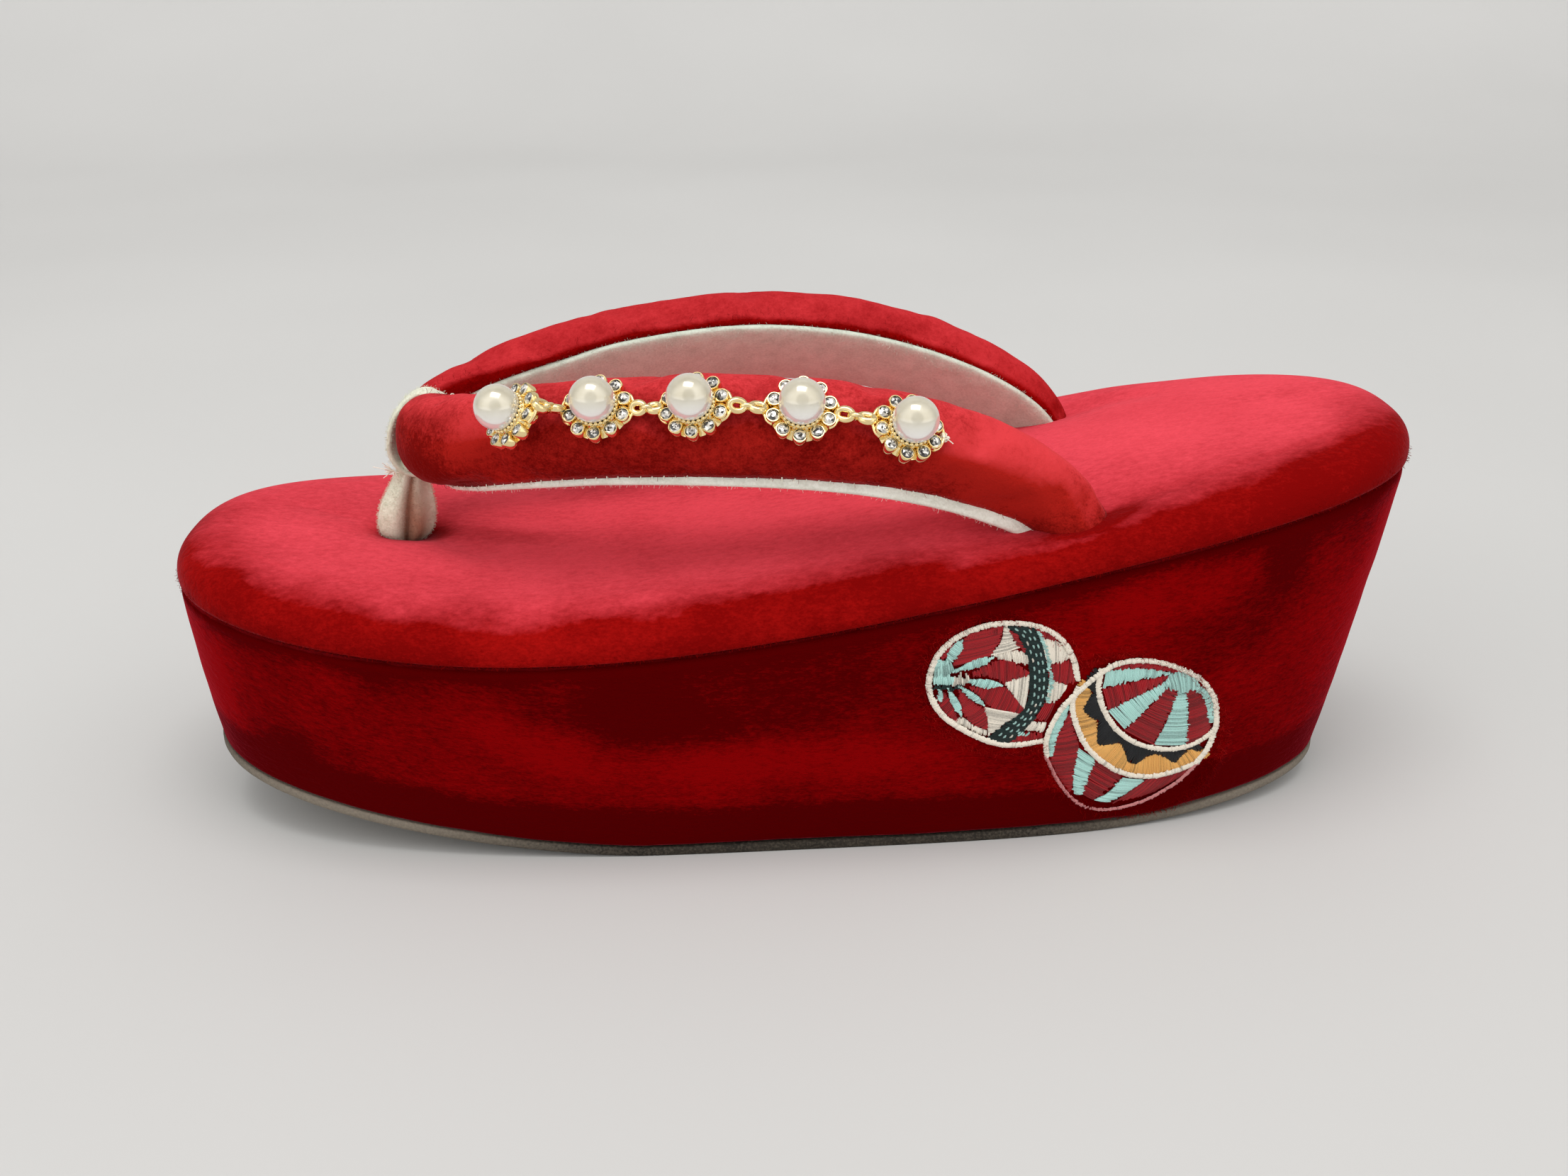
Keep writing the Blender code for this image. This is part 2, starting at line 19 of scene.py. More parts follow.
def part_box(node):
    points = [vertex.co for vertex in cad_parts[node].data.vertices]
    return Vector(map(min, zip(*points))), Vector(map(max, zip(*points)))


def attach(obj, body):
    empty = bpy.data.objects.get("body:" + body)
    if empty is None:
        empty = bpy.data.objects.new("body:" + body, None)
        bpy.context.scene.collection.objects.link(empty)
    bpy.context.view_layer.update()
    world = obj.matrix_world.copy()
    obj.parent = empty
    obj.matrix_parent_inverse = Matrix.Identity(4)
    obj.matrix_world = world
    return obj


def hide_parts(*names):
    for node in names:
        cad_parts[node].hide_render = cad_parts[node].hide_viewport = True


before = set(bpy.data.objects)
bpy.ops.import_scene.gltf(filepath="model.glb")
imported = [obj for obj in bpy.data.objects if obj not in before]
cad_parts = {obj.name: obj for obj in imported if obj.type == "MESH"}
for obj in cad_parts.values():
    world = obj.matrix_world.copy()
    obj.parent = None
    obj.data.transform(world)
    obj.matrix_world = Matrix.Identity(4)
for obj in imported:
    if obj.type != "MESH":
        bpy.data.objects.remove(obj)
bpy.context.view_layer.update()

MM = 0.001
BODY = "root"
LOG = logging.getLogger("zori")
Array = np.ndarray
Colour = tuple[float, float, float]
Point = tuple[float, float]
Spot = tuple[float, float, float]
Profile = Sequence[Point]
Lines = Sequence[Array]
Rise = Callable[[Array], Array]
Rows = tuple[tuple[float, ...], ...]
Piece = bpy.types.Object
Socket = bpy.types.NodeSocket


class Slot(Enum):
    """The record's material slots."""

    VELVET = "velvet"
    DEEP_VELVET = "deep_velvet"
    COTTON = "cotton"
    RUBBER = "grey_rubber"
    GOLD = "gold"
    PEARL = "pearl"


def add_node(tree: bpy.types.NodeTree, kind: str, inputs: dict | None = None, **settings) -> bpy.types.Node:
    """Adds one node to a tree.

    Args:
        tree: The shader or geometry tree.
        kind: The node's type.
        inputs: Values or sockets by input name or number; a socket is linked.
        settings: The node's own properties.

    Returns:
        The new node.
    """
    node = tree.nodes.new(kind)
    for name, value in settings.items():
        setattr(node, name, value)
    for name, value in (inputs or {}).items():
        if isinstance(value, Socket):
            tree.links.new(value, node.inputs[name])
        else:
            node.inputs[name].default_value = value
    return node


class Finish:
    """A material while its nodes are put together."""

    def __init__(self, name: str, **surface: float | Colour) -> None:
        """Starts a Principled material.

        Args:
            name: The material's name.
            surface: Values of the shader's sockets, with _ for a space.
        """
        self.material = bpy.data.materials.new(name)
        self.material.use_nodes = True
        self.tree = self.material.node_tree
        self.shader = self.tree.nodes["Principled BSDF"]
        for label, value in surface.items():
            socket = self.shader.inputs[label.replace("_", " ")]
            socket.default_value = (*value, 1.0) if isinstance(value, tuple) else value

    def place(self, output: str = "Object", stretch: Sequence[float] = (1.0, 1.0, 1.0)) -> Socket:
        """Returns coordinates in metres, divided by the stretch along each axis."""
        where = add_node(self.tree, "ShaderNodeTexCoord")
        scale = tuple(1.0 / s for s in stretch)
        mapping = add_node(self.tree, "ShaderNodeMapping", {"Vector": where.outputs[output], "Scale": scale})
        return mapping.outputs["Vector"]

    def grain(self, where: Socket, size: float, detail: float = 2.0) -> Socket:
        """Returns a noise whose lumps are about size millimetres across."""
        inputs = {"Vector": where, "Scale": 1.0 / (size * MM), "Detail": detail, "Roughness": 0.6}
        return add_node(self.tree, "ShaderNodeTexNoise", inputs).outputs["Fac"]

    def spread(self, value: Socket, low: float, high: float, to: Point = (0.0, 1.0)) -> Socket:
        """Maps a value from low and high to two others, clamped."""
        inputs = {"Value": value, "From Min": low, "From Max": high, "To Min": to[0], "To Max": to[1]}
        return add_node(self.tree, "ShaderNodeMapRange", inputs).outputs["Result"]

    def sum(self, *terms: tuple[Socket, float]) -> Socket:
        """Returns the weighted sum of some values."""
        total = None
        for value, weight in terms:
            inputs = {0: value, 1: weight, 2: total if total is not None else 0.0}
            total = add_node(self.tree, "ShaderNodeMath", inputs, operation="MULTIPLY_ADD").outputs[0]
        return total

    def mix(self, share: Socket, low: Colour | Socket, high: Colour | Socket) -> Socket:
        """Returns a colour between two others."""
        node = add_node(self.tree, "ShaderNodeMix", {0: share}, data_type="RGBA")
        for end, colour in ((6, low), (7, high)):
            if isinstance(colour, tuple):
                node.inputs[end].default_value = (*colour, 1.0)
            else:
                self.tree.links.new(colour, node.inputs[end])
        return node.outputs[2]

    def attribute(self, name: str) -> Socket:
        """Returns a number stored on the mesh."""
        return add_node(self.tree, "ShaderNodeAttribute", attribute_name=name).outputs["Fac"]

    def upward(self) -> Socket:
        """Returns how far the surface faces up, from -1 to 1."""
        where = add_node(self.tree, "ShaderNodeTexCoord").outputs["Normal"]
        return add_node(self.tree, "ShaderNodeSeparateXYZ", {0: where}).outputs[2]

    def colour(self, socket: Socket) -> None:
        """Links the base colour."""
        self.tree.links.new(socket, self.shader.inputs["Base Color"])

    def roughness(self, socket: Socket) -> None:
        """Links the roughness."""
        self.tree.links.new(socket, self.shader.inputs["Roughness"])

    def bump(self, height: Socket, depth: float, strength: float = 1.0) -> None:
        """Raises the surface by a height of up to depth millimetres."""
        inputs = {"Height": height, "Distance": depth * MM, "Strength": strength}
        node = add_node(self.tree, "ShaderNodeBump", inputs)
        self.tree.links.new(node.outputs["Normal"], self.shader.inputs["Normal"])


@dataclass(frozen=True)
class Velvet:
    """Cut-pile cloth: deep on its sides, with painted light and sheen on surfaces that face up."""

    name: str
    shade: Colour
    bright: Colour
    patch: float
    # painted light: the colours of surfaces that face up, as lit from above
    painted_lit_top_shade: Colour = (0.50, 0.014, 0.022)
    painted_lit_top_bright: Colour = (0.72, 0.036, 0.050)
    comb: float = 1.0
    coordinates: str = "Object"
    sheen: float = 0.5
    sheen_tint: Colour = (1.0, 0.50, 0.55)
    relief: float = 0.35
    # how far up a surface faces where the painted lit top colours begin and where they are full
    nap: Point = (0.45, 1.0)
    patchy: float = 0.35
    contrast: float = 0.13
    brush_depth: float = 0.22
    tuft: float = 1.1
    fibre: float = 0.38

    def material(self) -> bpy.types.Material:
        """Returns the cloth's material, which reads the attribute nap for brushed patches, painted shade and
        painted light.
        """
        finish = Finish(
            self.name, Roughness=0.95, Sheen_Weight=self.sheen, Sheen_Roughness=0.3,
            Sheen_Tint=self.sheen_tint, Specular_IOR_Level=0.0,
        )
        even = finish.place(self.coordinates)
        combed = finish.place(self.coordinates, (self.comb, 1.0, 1.0))
        patches = finish.grain(even, self.patch, 2.0)
        tufts = finish.grain(combed, self.tuft, 3.0)
        fibres = finish.grain(combed, self.fibre, 2.0)
        # the attribute nap holds brushed patches, painted shade and painted light
        brushed = finish.attribute("nap")
        rest = (1.0 - self.patchy) * 0.5
        lie = finish.sum((patches, self.patchy), (tufts, rest), (fibres, rest), (brushed, self.brush_depth))
        tone = finish.spread(lie, 0.5 - self.contrast, 0.5 + self.contrast)
        # painted light and sheen: surfaces that face up take the lit top colours, the others the side colours
        side = finish.mix(tone, self.shade, self.bright)
        top = finish.mix(tone, self.painted_lit_top_shade, self.painted_lit_top_bright)
        ruffle = 0.032 / self.contrast
        flat = finish.sum((finish.upward(), 1.0), (patches, 0.2), (tufts, ruffle), (brushed, 0.2))
        low, high = (bound + 0.1 + ruffle / 2 for bound in self.nap)
        finish.colour(finish.mix(finish.spread(flat, low, high), side, top))
        finish.bump(finish.sum((tufts, 0.7), (fibres, 0.3)), self.relief)
        return finish.material


@dataclass(frozen=True)
class Cotton:
    """Brushed cotton, cream, with a short nap, and painted shade, reddened as by light off the velvet, where
    the attribute nap is below 0.
    """

    name: str
    shade: Colour = (0.76, 0.76, 0.66)
    bright: Colour = (0.93, 0.93, 0.84)
    # painted shade, red-brown as if lit by the red velvet
    painted_red_shade: Colour = (0.40, 0.20, 0.13)

    def material(self) -> bpy.types.Material:
        """Returns the cloth's material, which reads the attribute nap for painted shade."""
        finish = Finish(
            self.name, Roughness=0.95, Sheen_Weight=0.25, Sheen_Roughness=0.4,
            Sheen_Tint=(1.0, 0.96, 0.9), Specular_IOR_Level=0.08,
        )
        where = finish.place()
        patches = finish.grain(where, 4.0, 2.0)
        nap = finish.grain(where, 0.45, 3.0)
        tone = finish.sum((patches, 0.45), (nap, 0.55))
        cloth = finish.mix(finish.spread(tone, 0.36, 0.60), self.shade, self.bright)
        # painted shade where the attribute nap is below 0
        finish.colour(finish.mix(finish.spread(finish.attribute("nap"), -1.0, 0.0), self.painted_red_shade, cloth))
        finish.bump(nap, 0.12)
        return finish.material


@dataclass(frozen=True)
class SheetRubber:
    """Matt foamed rubber with fine pits and pale specks."""

    name: str = "grey_sheet_rubber"
    shade: Colour = (0.014, 0.011, 0.008)
    bright: Colour = (0.040, 0.032, 0.023)
    pale_colour: Colour = (0.33, 0.28, 0.22)

    def material(self) -> bpy.types.Material:
        """Returns the rubber's material, which is paler where the attribute paleness is high."""
        finish = Finish(self.name, Roughness=0.85, Specular_IOR_Level=0.25)
        where = finish.place()
        cloud = finish.grain(where, 7.0, 3.0)
        pits = finish.grain(where, 0.5, 3.0)
        tone = finish.sum((cloud, 0.5), (pits, 0.5))
        plain = finish.mix(finish.spread(tone, 0.35, 0.62), self.shade, self.bright)
        # paler where the attribute paleness is high, with pale specks at the pits
        pale_share = finish.spread(finish.sum((finish.attribute("dust"), 1.0), (pits, 0.8)), 0.4, 1.9)
        finish.colour(finish.mix(pale_share, plain, self.pale_colour))
        finish.roughness(finish.spread(pits, 0.3, 0.7, (0.7, 0.95)))
        finish.bump(pits, 0.12)
        return finish.material


@dataclass(frozen=True)
class GoldPlate:
    """Polished pale gold plate with faint handling marks."""

    name: str = "pale_gold_plate"
    colour: Colour = (0.91, 0.72, 0.37)

    def material(self) -> bpy.types.Material:
        """Returns the metal's material."""
        finish = Finish(self.name, Metallic=1.0, Roughness=0.14, Base_Color=self.colour)
        marks = finish.grain(finish.place(), 0.8, 3.0)
        finish.roughness(finish.spread(marks, 0.35, 0.7, (0.05, 0.15)))
        finish.bump(marks, 0.02, 0.7)
        return finish.material


@dataclass(frozen=True)
class PearlLustre:
    """Coated bead: a milky ground with a painted reflection of the floor on its lower side, soft lustre and a
    clear top coat.
    """

    name: str = "pearl_lustre"
    shade: Colour = (0.62, 0.56, 0.42)
    bright: Colour = (0.70, 0.645, 0.51)
    painted_floor_reflection: Colour = (1.0, 0.99, 0.95)

    def material(self) -> bpy.types.Material:
        """Returns the bead's material."""
        finish = Finish(
            self.name, Metallic=0.34, Roughness=0.16, Coat_Weight=1.0, Coat_Roughness=0.04,
            Specular_IOR_Level=0.8, Sheen_Weight=0.6, Sheen_Roughness=0.4,
        )
        cloud = finish.grain(finish.place(), 3.0, 2.0)
        body = finish.mix(finish.spread(cloud, 0.35, 0.65), self.shade, self.bright)
        # painted reflection: the lower side, facing the floor, turns whiter
        finish.colour(finish.mix(finish.spread(finish.upward(), -0.45, 0.30), self.painted_floor_reflection, body))
        finish.roughness(finish.spread(cloud, 0.3, 0.7, (0.13, 0.20)))
        return finish.material


@dataclass(frozen=True)
class Crystal:
    """Foil-backed cut glass, each facet with its own painted reflection, dark to bright."""

    name: str = "cut_crystal"
    dark: Colour = (0.022, 0.019, 0.015)
    light: Colour = (1.0, 0.96, 0.88)

    def material(self) -> bpy.types.Material:
        """Returns the stone's material, whose facets read their painted reflection from the attribute facet.
        """
        finish = Finish(
            self.name, Metallic=0.65, Roughness=0.06, Coat_Weight=1.0, Coat_Roughness=0.02,
            Specular_IOR_Level=0.7,
        )
        # painted reflection: each facet's brightness
        finish.colour(finish.mix(finish.attribute("facet"), self.dark, self.light))
        return finish.material


@dataclass(frozen=True)
class Floss:
    """Glossy embroidery thread."""

    name: str
    colour: Colour

    def material(self) -> bpy.types.Material:
        """Returns the thread's material, which reads the attribute tone of each stitch."""
        finish = Finish(
            self.name, Roughness=0.45, Sheen_Weight=0.04, Sheen_Roughness=0.3, Specular_IOR_Level=0.35,
        )
        strands = finish.grain(finish.place(), 0.25, 2.0)
        deep = tuple(c * 0.45 for c in self.colour)
        share = finish.spread(finish.sum((strands, 0.5), (finish.attribute("tone"), 0.5)), 0.22, 0.62)
        finish.colour(finish.mix(share, deep, self.colour))
        finish.bump(strands, 0.05)
        return finish.material


@dataclass(frozen=True)
class PalePaper:
    """The matt paper that the shoe stands on."""

    name: str = "pale_paper"
    shade: Colour = (0.60, 0.595, 0.585)
    bright: Colour = (0.64, 0.635, 0.625)

    def material(self) -> bpy.types.Material:
        """Returns the paper's material."""
        finish = Finish(self.name, Roughness=0.7, Specular_IOR_Level=0.2)
        cloud = finish.grain(finish.place(), 400.0, 2.0)
        finish.colour(finish.mix(finish.spread(cloud, 0.3, 0.7), self.shade, self.bright))
        return finish.material


class Thread(Enum):
    """The flosses of the thread work."""

    CREAM = Floss("floss_cream", (0.93, 0.86, 0.74))
    AQUA = Floss("floss_aqua", (0.49, 0.80, 0.74))
    RED = Floss("floss_red", (0.40, 0.006, 0.012))
    GREEN = Floss("floss_dark_green", (0.005, 0.024, 0.022))
    BLACK = Floss("floss_black", (0.008, 0.010, 0.012))
    GOLD = Floss("floss_gold", (0.88, 0.47, 0.13))
    ROSE = Floss("floss_rose", (0.62, 0.24, 0.24))


Surface = Velvet | Cotton | SheetRubber | GoldPlate | PearlLustre | Crystal | Floss | PalePaper


class Loom:
    """Makes each finish once and hands out its material."""

    def __init__(self) -> None:
        """Starts with no material made."""
        self.made: dict[str, bpy.types.Material] = {}

    def material(self, finish: Surface) -> bpy.types.Material:
        """Returns the material of a finish, made at its first use."""
        if finish.name not in self.made:
            self.made[finish.name] = finish.material()
        return self.made[finish.name]


LOOM = Loom()
FOOTBED_VELVET = Velvet(
    "velvet_footbed", (0.20, 0.002, 0.002), (0.40, 0.006, 0.005), 26.0, comb=1.6, nap=(0.50, 1.0),
    relief=0.25, painted_lit_top_shade=(0.62, 0.044, 0.062), painted_lit_top_bright=(0.80, 0.072, 0.100), sheen=0.20, contrast=0.16,
    sheen_tint=(1.0, 0.36, 0.44), brush_depth=0.05,
)
BAND_VELVET = Velvet(
    "velvet_bands", (0.18, 0.004, 0.003), (0.40, 0.014, 0.010), 7.0, nap=(0.28, 0.97), sheen=0.26,
    sheen_tint=(1.0, 0.22, 0.24), painted_lit_top_shade=(0.46, 0.024, 0.028), painted_lit_top_bright=(0.68, 0.048, 0.056),
    contrast=0.10,
)
# painted shade: a darker copy of the band velvet, with less sheen, for the inner band
INNER_VELVET_PAINTED_SHADE = Velvet(
    "velvet_inner_band", (0.17, 0.001, 0.001), (0.32, 0.003, 0.003), 7.0, nap=(0.25, 0.95), sheen=0.10,
    sheen_tint=(1.0, 0.22, 0.24), painted_lit_top_shade=(0.40, 0.016, 0.020), painted_lit_top_bright=(0.56, 0.032, 0.038),
)
WALL_VELVET = Velvet(
    "velvet_wall", (0.085, 0.0002, 0.0006), (0.25, 0.0010, 0.0016), 24.0, comb=2.4, coordinates="UV",
    sheen=0.35, sheen_tint=(1.0, 0.10, 0.16), relief=0.3, patchy=0.36, contrast=0.12,
)
WALL_PILE = Velvet(
    "velvet_wall_pile", (0.20, 0.002, 0.002), (0.44, 0.012, 0.010), 7.0, sheen=0.0,
    painted_lit_top_shade=(0.26, 0.004, 0.004), painted_lit_top_bright=(0.48, 0.016, 0.014),
)
EDGE_PILE = Velvet(
    "velvet_edge_pile", (0.24, 0.003, 0.002), (0.50, 0.016, 0.012), 7.0, sheen=0.0,
    painted_lit_top_shade=(0.28, 0.004, 0.003), painted_lit_top_bright=(0.52, 0.020, 0.016),
)
LINING = Cotton("cotton_lining")
# painted shade: a darker, greener copy of the lining cotton for the inner band's lining
INNER_LINING_PAINTED_SHADE = Cotton("cotton_inner_lining", shade=(0.54, 0.60, 0.50), bright=(0.70, 0.77, 0.66))
POST_COTTON = Cotton("cotton_post", shade=(0.70, 0.71, 0.56), bright=(0.87, 0.88, 0.73))


def placed(name: str, data: bpy.types.ID) -> Piece:
    """Puts a new object into the scene."""
    piece = bpy.data.objects.new(name, data)
    bpy.context.scene.collection.objects.link(piece)
    return piece


def as_object(name: str, points: Array, faces: Sequence[Sequence[int]], finish: Surface) -> Piece:
    """Makes a smooth mesh object with its faces pointing out.

    Args:
        name: The piece's name.
        points: Its points, in millimetres.
        faces: Its faces, by point number.
        finish: Its finish.

    Returns:
        The object, at the origin, in metres.
    """
    mesh = bpy.data.meshes.new(name)
    mesh.from_pydata((np.asarray(points) * MM).tolist(), [], faces)
    shell = bmesh.new()
    shell.from_mesh(mesh)
    bmesh.ops.recalc_face_normals(shell, faces=shell.faces)
    shell.to_mesh(mesh)
    shell.free()
    mesh.shade_smooth()
    mesh.materials.append(LOOM.material(finish))
    return placed(name, mesh)


def loft(rings: Array, closed: bool = False, first: int = 0) -> list[tuple[int, ...]]:
    """Returns the quads between rings of points.

    Args:
        rings: Rows by columns by 3, each row a closed ring.
        closed: Whether the last ring joins the first.
        first: The number of the first point.

    Returns:
        The faces.
    """
    rows, count = rings.shape[:2]
    faces = []
    for row in range(rows if closed else rows - 1):
        low = first + row * count
        high = first + ((row + 1) % rows) * count
        for k in range(count):
            after = (k + 1) % count
            faces.append((low + k, low + after, high + after, high + k))
    return faces


def tube(name: str, rings: Array, finish: Surface, closed: bool = False) -> Piece:
    """Makes a lofted piece, closed on itself or with capped ends.

    Args:
        name: The piece's name.
        rings: Its rings of points, rows by columns by 3.
        finish: Its finish.
        closed: Whether the last ring joins the first.

    Returns:
        The piece.
    """
    faces = loft(rings, closed)
    points = rings.reshape(-1, 3)
    if not closed:
        count, last = rings.shape[1], len(points)
        points = np.vstack([points, rings[0].mean(axis=0), rings[-1].mean(axis=0)])
        for k in range(count):
            after = (k + 1) % count
            faces += [(k, after, last), (last - count + k, last - count + after, last + 1)]
    return as_object(name, points, faces, finish)


def unit(vectors: Array) -> Array:
    """Returns vectors of length 1."""
    return vectors / np.maximum(np.linalg.norm(vectors, axis=-1, keepdims=True), 1e-9)


def circle(count: int) -> Array:
    """Returns even angles round a circle."""
    return np.linspace(0.0, 2 * np.pi, count, endpoint=False)


def squared(angle: Array, fullness: float) -> tuple[Array, Array]:
    """Returns the two ways along a rounded square; more fullness than 2 makes it squarer."""
    waves = np.cos(angle), np.sin(angle)
    return tuple(np.sign(wave) * np.abs(wave) ** (2 / fullness) for wave in waves)


def swept(line: Array, side: Array, out: Array, across: Array, deep: Array) -> Array:
    """Sets rings of points round a line.

    Args:
        line: The line's points.
        side: The way to the side, one for all or one at each point.
        out: The way out, likewise.
        across: How far each point of a ring lies to the side.
        deep: How far it lies out.

    Returns:
        The rings, rows by columns by 3.
    """
    side, out = (np.broadcast_to(way, line.shape)[:, None] for way in (side, out))
    return line[:, None] + side * across[..., None] + out * deep[..., None]


def travelled(line: Array) -> Array:
    """Returns how far along a line of points each point lies."""
    return np.concatenate([[0.0], np.cumsum(np.linalg.norm(np.diff(line, axis=0), axis=1))])


def read_at(places: Array, reach: Array, line: Array) -> Array:
    """Returns what a line of points is at some distances along it."""
    return np.stack([np.interp(places, reach, column) for column in line.T], axis=1)


def lumps(points: Array, size: float, seed: float) -> Array:
    """Returns a smooth noise from -1 to 1 at each point, its lumps about size millimetres wide."""
    shift = Vector((seed, 2 * seed, 3 * seed))
    flat = points.reshape(-1, 3)
    values = [noise.noise(Vector(p) / size + shift) for p in flat]
    return np.array(values).reshape(points.shape[:-1])


def smooth_rows(rows: Array, steps: int, closed: bool = False) -> Array:
    """Reads a table at even steps of a smooth curve through its first and third columns.

    Args:
        rows: The table; its columns 0 and 2 measure the way along.
        steps: The number of steps.
        closed: Whether the last row joins the first.

    Returns:
        The new rows.
    """
    if closed:
        rows = np.vstack([rows, rows[:1]])
    reach = np.concatenate([[0.0], np.cumsum(np.hypot(np.diff(rows[:, 0]), np.diff(rows[:, 2])))])
    last = len(rows) - 1
    slopes = np.empty_like(rows)
    for k in range(len(rows)):
        low, high = max(k - 1, 0), min(k + 1, last)
        run = reach[high] - reach[low]
        if closed and k in (0, last):
            low, high = last - 1, 1
            run = reach[last] - reach[last - 1] + reach[1]
        slopes[k] = (rows[high] - rows[low]) / run
    places = reach[-1] * np.arange(steps if closed else steps + 1) / steps
    k = np.clip(np.searchsorted(reach, places, side="left") - 1, 0, last - 1)
    run = (reach[k + 1] - reach[k])[:, None]
    u = (places - reach[k])[:, None] / run
    start = (1 + 2 * u) * (1 - u) ** 2 * rows[k] + u * (1 - u) ** 2 * run * slopes[k]
    end = u * u * (3 - 2 * u) * rows[k + 1] + u * u * (u - 1) * run * slopes[k + 1]
    return start + end


class GrowTree:
    """A Geometry Nodes tree with named inputs, built once and run on many pieces."""

    SOCKETS = {float: "NodeSocketFloat", int: "NodeSocketInt", Piece: "NodeSocketObject"}

    def __init__(self, name: str, **inputs: float | int | type) -> None:
        """Starts the tree.

        Args:
            name: The tree's name.
            inputs: Its inputs, with _ for a space, and their usual values.
        """
        self.tree = bpy.data.node_groups.new(name, "GeometryNodeTree")
        self.tree.interface.new_socket("Geometry", in_out="INPUT", socket_type="NodeSocketGeometry")
        for label, value in inputs.items():
            kind = value if isinstance(value, type) else type(value)
            socket = self.tree.interface.new_socket(
                label.replace("_", " "), in_out="INPUT", socket_type=self.SOCKETS[kind]
            )
            if not isinstance(value, type):
                socket.default_value = value
        self.tree.interface.new_socket("Material", in_out="INPUT", socket_type="NodeSocketMaterial")
        self.tree.interface.new_socket("Geometry", in_out="OUTPUT", socket_type="NodeSocketGeometry")
        self.given = self.tree.nodes.new("NodeGroupInput").outputs

    def add(self, kind: str, inputs: dict | None = None, **settings) -> bpy.types.NodeOutputs:
        """Adds a node and returns its outputs."""
        return add_node(self.tree, kind, inputs, **settings).outputs

    def maths(self, operation: str, *values: Socket | float) -> Socket:
        """Returns a sum worked out from some values."""
        return self.add("ShaderNodeMath", dict(enumerate(values)), operation=operation)[0]

    def vector(self, *parts: Socket | float) -> Socket:
        """Returns a vector of some parts."""
        return self.add("ShaderNodeCombineXYZ", dict(enumerate(parts)))[0]

    def stored(self, name: str, kind: str = "FLOAT_VECTOR") -> Socket:
        """Returns an attribute of the mesh."""
        return self.add("GeometryNodeInputNamedAttribute", {"Name": name}, data_type=kind)["Attribute"]

    def turned(self, rotation: Socket, low: Socket | Spot, high: Socket | Spot) -> Socket:
        """Returns a rotation with a random turn between two bounds."""
        inputs = {0: low, 1: high, "Seed": self.given["Seed"]}
        turn = self.add("FunctionNodeRandomValue", inputs, data_type="FLOAT_VECTOR")[0]
        inputs = {"Rotation": rotation, "Rotate By": turn}
        return self.add("FunctionNodeRotateRotation", inputs, rotation_space="LOCAL")["Rotation"]

    def about(self, low: float, high: float) -> Socket:
        """Returns a random size between two bounds."""
        inputs = {2: low, 3: high, "Seed": self.given["Seed"]}
        return self.add("FunctionNodeRandomValue", inputs, data_type="FLOAT")[1]

    def tube_on(self, curve: Socket, sides: Socket | int, radius: Socket, caps: bool) -> Socket:
        """Returns a tube along a curve."""
        profile = self.add("GeometryNodeCurvePrimitiveCircle", {"Resolution": sides, "Radius": radius})
        inputs = {"Curve": curve, "Profile Curve": profile["Curve"], "Fill Caps": caps}
        return self.add("GeometryNodeCurveToMesh", inputs)["Mesh"]

    def set_on(self, points: Socket, part: Socket, rotation: Socket, scale: Socket | None = None) -> Socket:
        """Returns copies of a part on some points."""
        inputs = {"Points": points, "Instance": part, "Rotation": rotation}
        if scale is not None:
            inputs["Scale"] = scale
        return self.add("GeometryNodeInstanceOnPoints", inputs)["Instances"]

    def end(self, shape: Socket) -> None:
        """Ends the tree: smooth faces, real instances and the material."""
        smooth = self.add("GeometryNodeSetShadeSmooth", {"Geometry": shape})[0]
        real = self.add("GeometryNodeRealizeInstances", {"Geometry": smooth})[0]
        inputs = {"Geometry": real, "Material": self.given["Material"]}
        dressed = self.add("GeometryNodeSetMaterial", inputs)[0]
        add_node(self.tree, "NodeGroupOutput", {"Geometry": dressed})

    def run(self, source: Piece, name: str, finish: Surface, **values) -> Piece:
        """Runs the tree on an object and keeps the result as a plain mesh.

        Args:
            source: The object that the tree reads; it is removed.
            name: The new piece's name.
            finish: The new piece's finish.
            values: The inputs to set, with _ for a space.

        Returns:
            The new piece.
        """
        values["Material"] = LOOM.material(finish)
        modifier = source.modifiers.new("Grow", "NODES")
        modifier.node_group = self.tree
        for item in self.tree.interface.items_tree:
            label = item.name.replace(" ", "_")
            if item.in_out == "INPUT" and label in values:
                modifier[item.identifier] = values[label]
        layer = bpy.context.evaluated_depsgraph_get()
        mesh = bpy.data.meshes.new_from_object(source.evaluated_get(layer), depsgraph=layer)
        mesh.name = name
        source.modifiers.remove(modifier)
        bpy.data.objects.remove(source, do_unlink=True)
        return placed(name, mesh)


def thread_tree() -> GrowTree:
    """Builds the tree that turns edges into arched threads, away from the attribute out."""
    grow = GrowTree("Threads", Radius=0.0002, Arch=0.0003, Steps=6, Sides=5)
    ask = grow.given
    curve = grow.add("GeometryNodeMeshToCurve", {"Mesh": ask["Geometry"]})["Curve"]
    fine = grow.add("GeometryNodeResampleCurve", {"Curve": curve, "Count": ask["Steps"]})["Curve"]
    turn = grow.maths("MULTIPLY", grow.add("GeometryNodeSplineParameter")["Factor"], math.pi)
    rise = grow.maths("MULTIPLY", grow.maths("SINE", turn), ask["Arch"])
    offset = grow.add("ShaderNodeVectorMath", {0: grow.stored("out"), "Scale": rise}, operation="SCALE")[0]
    raised = grow.add("GeometryNodeSetPosition", {"Geometry": fine, "Offset": offset})["Geometry"]
    grow.end(grow.tube_on(raised, ask["Sides"], ask["Radius"], True))
    return grow


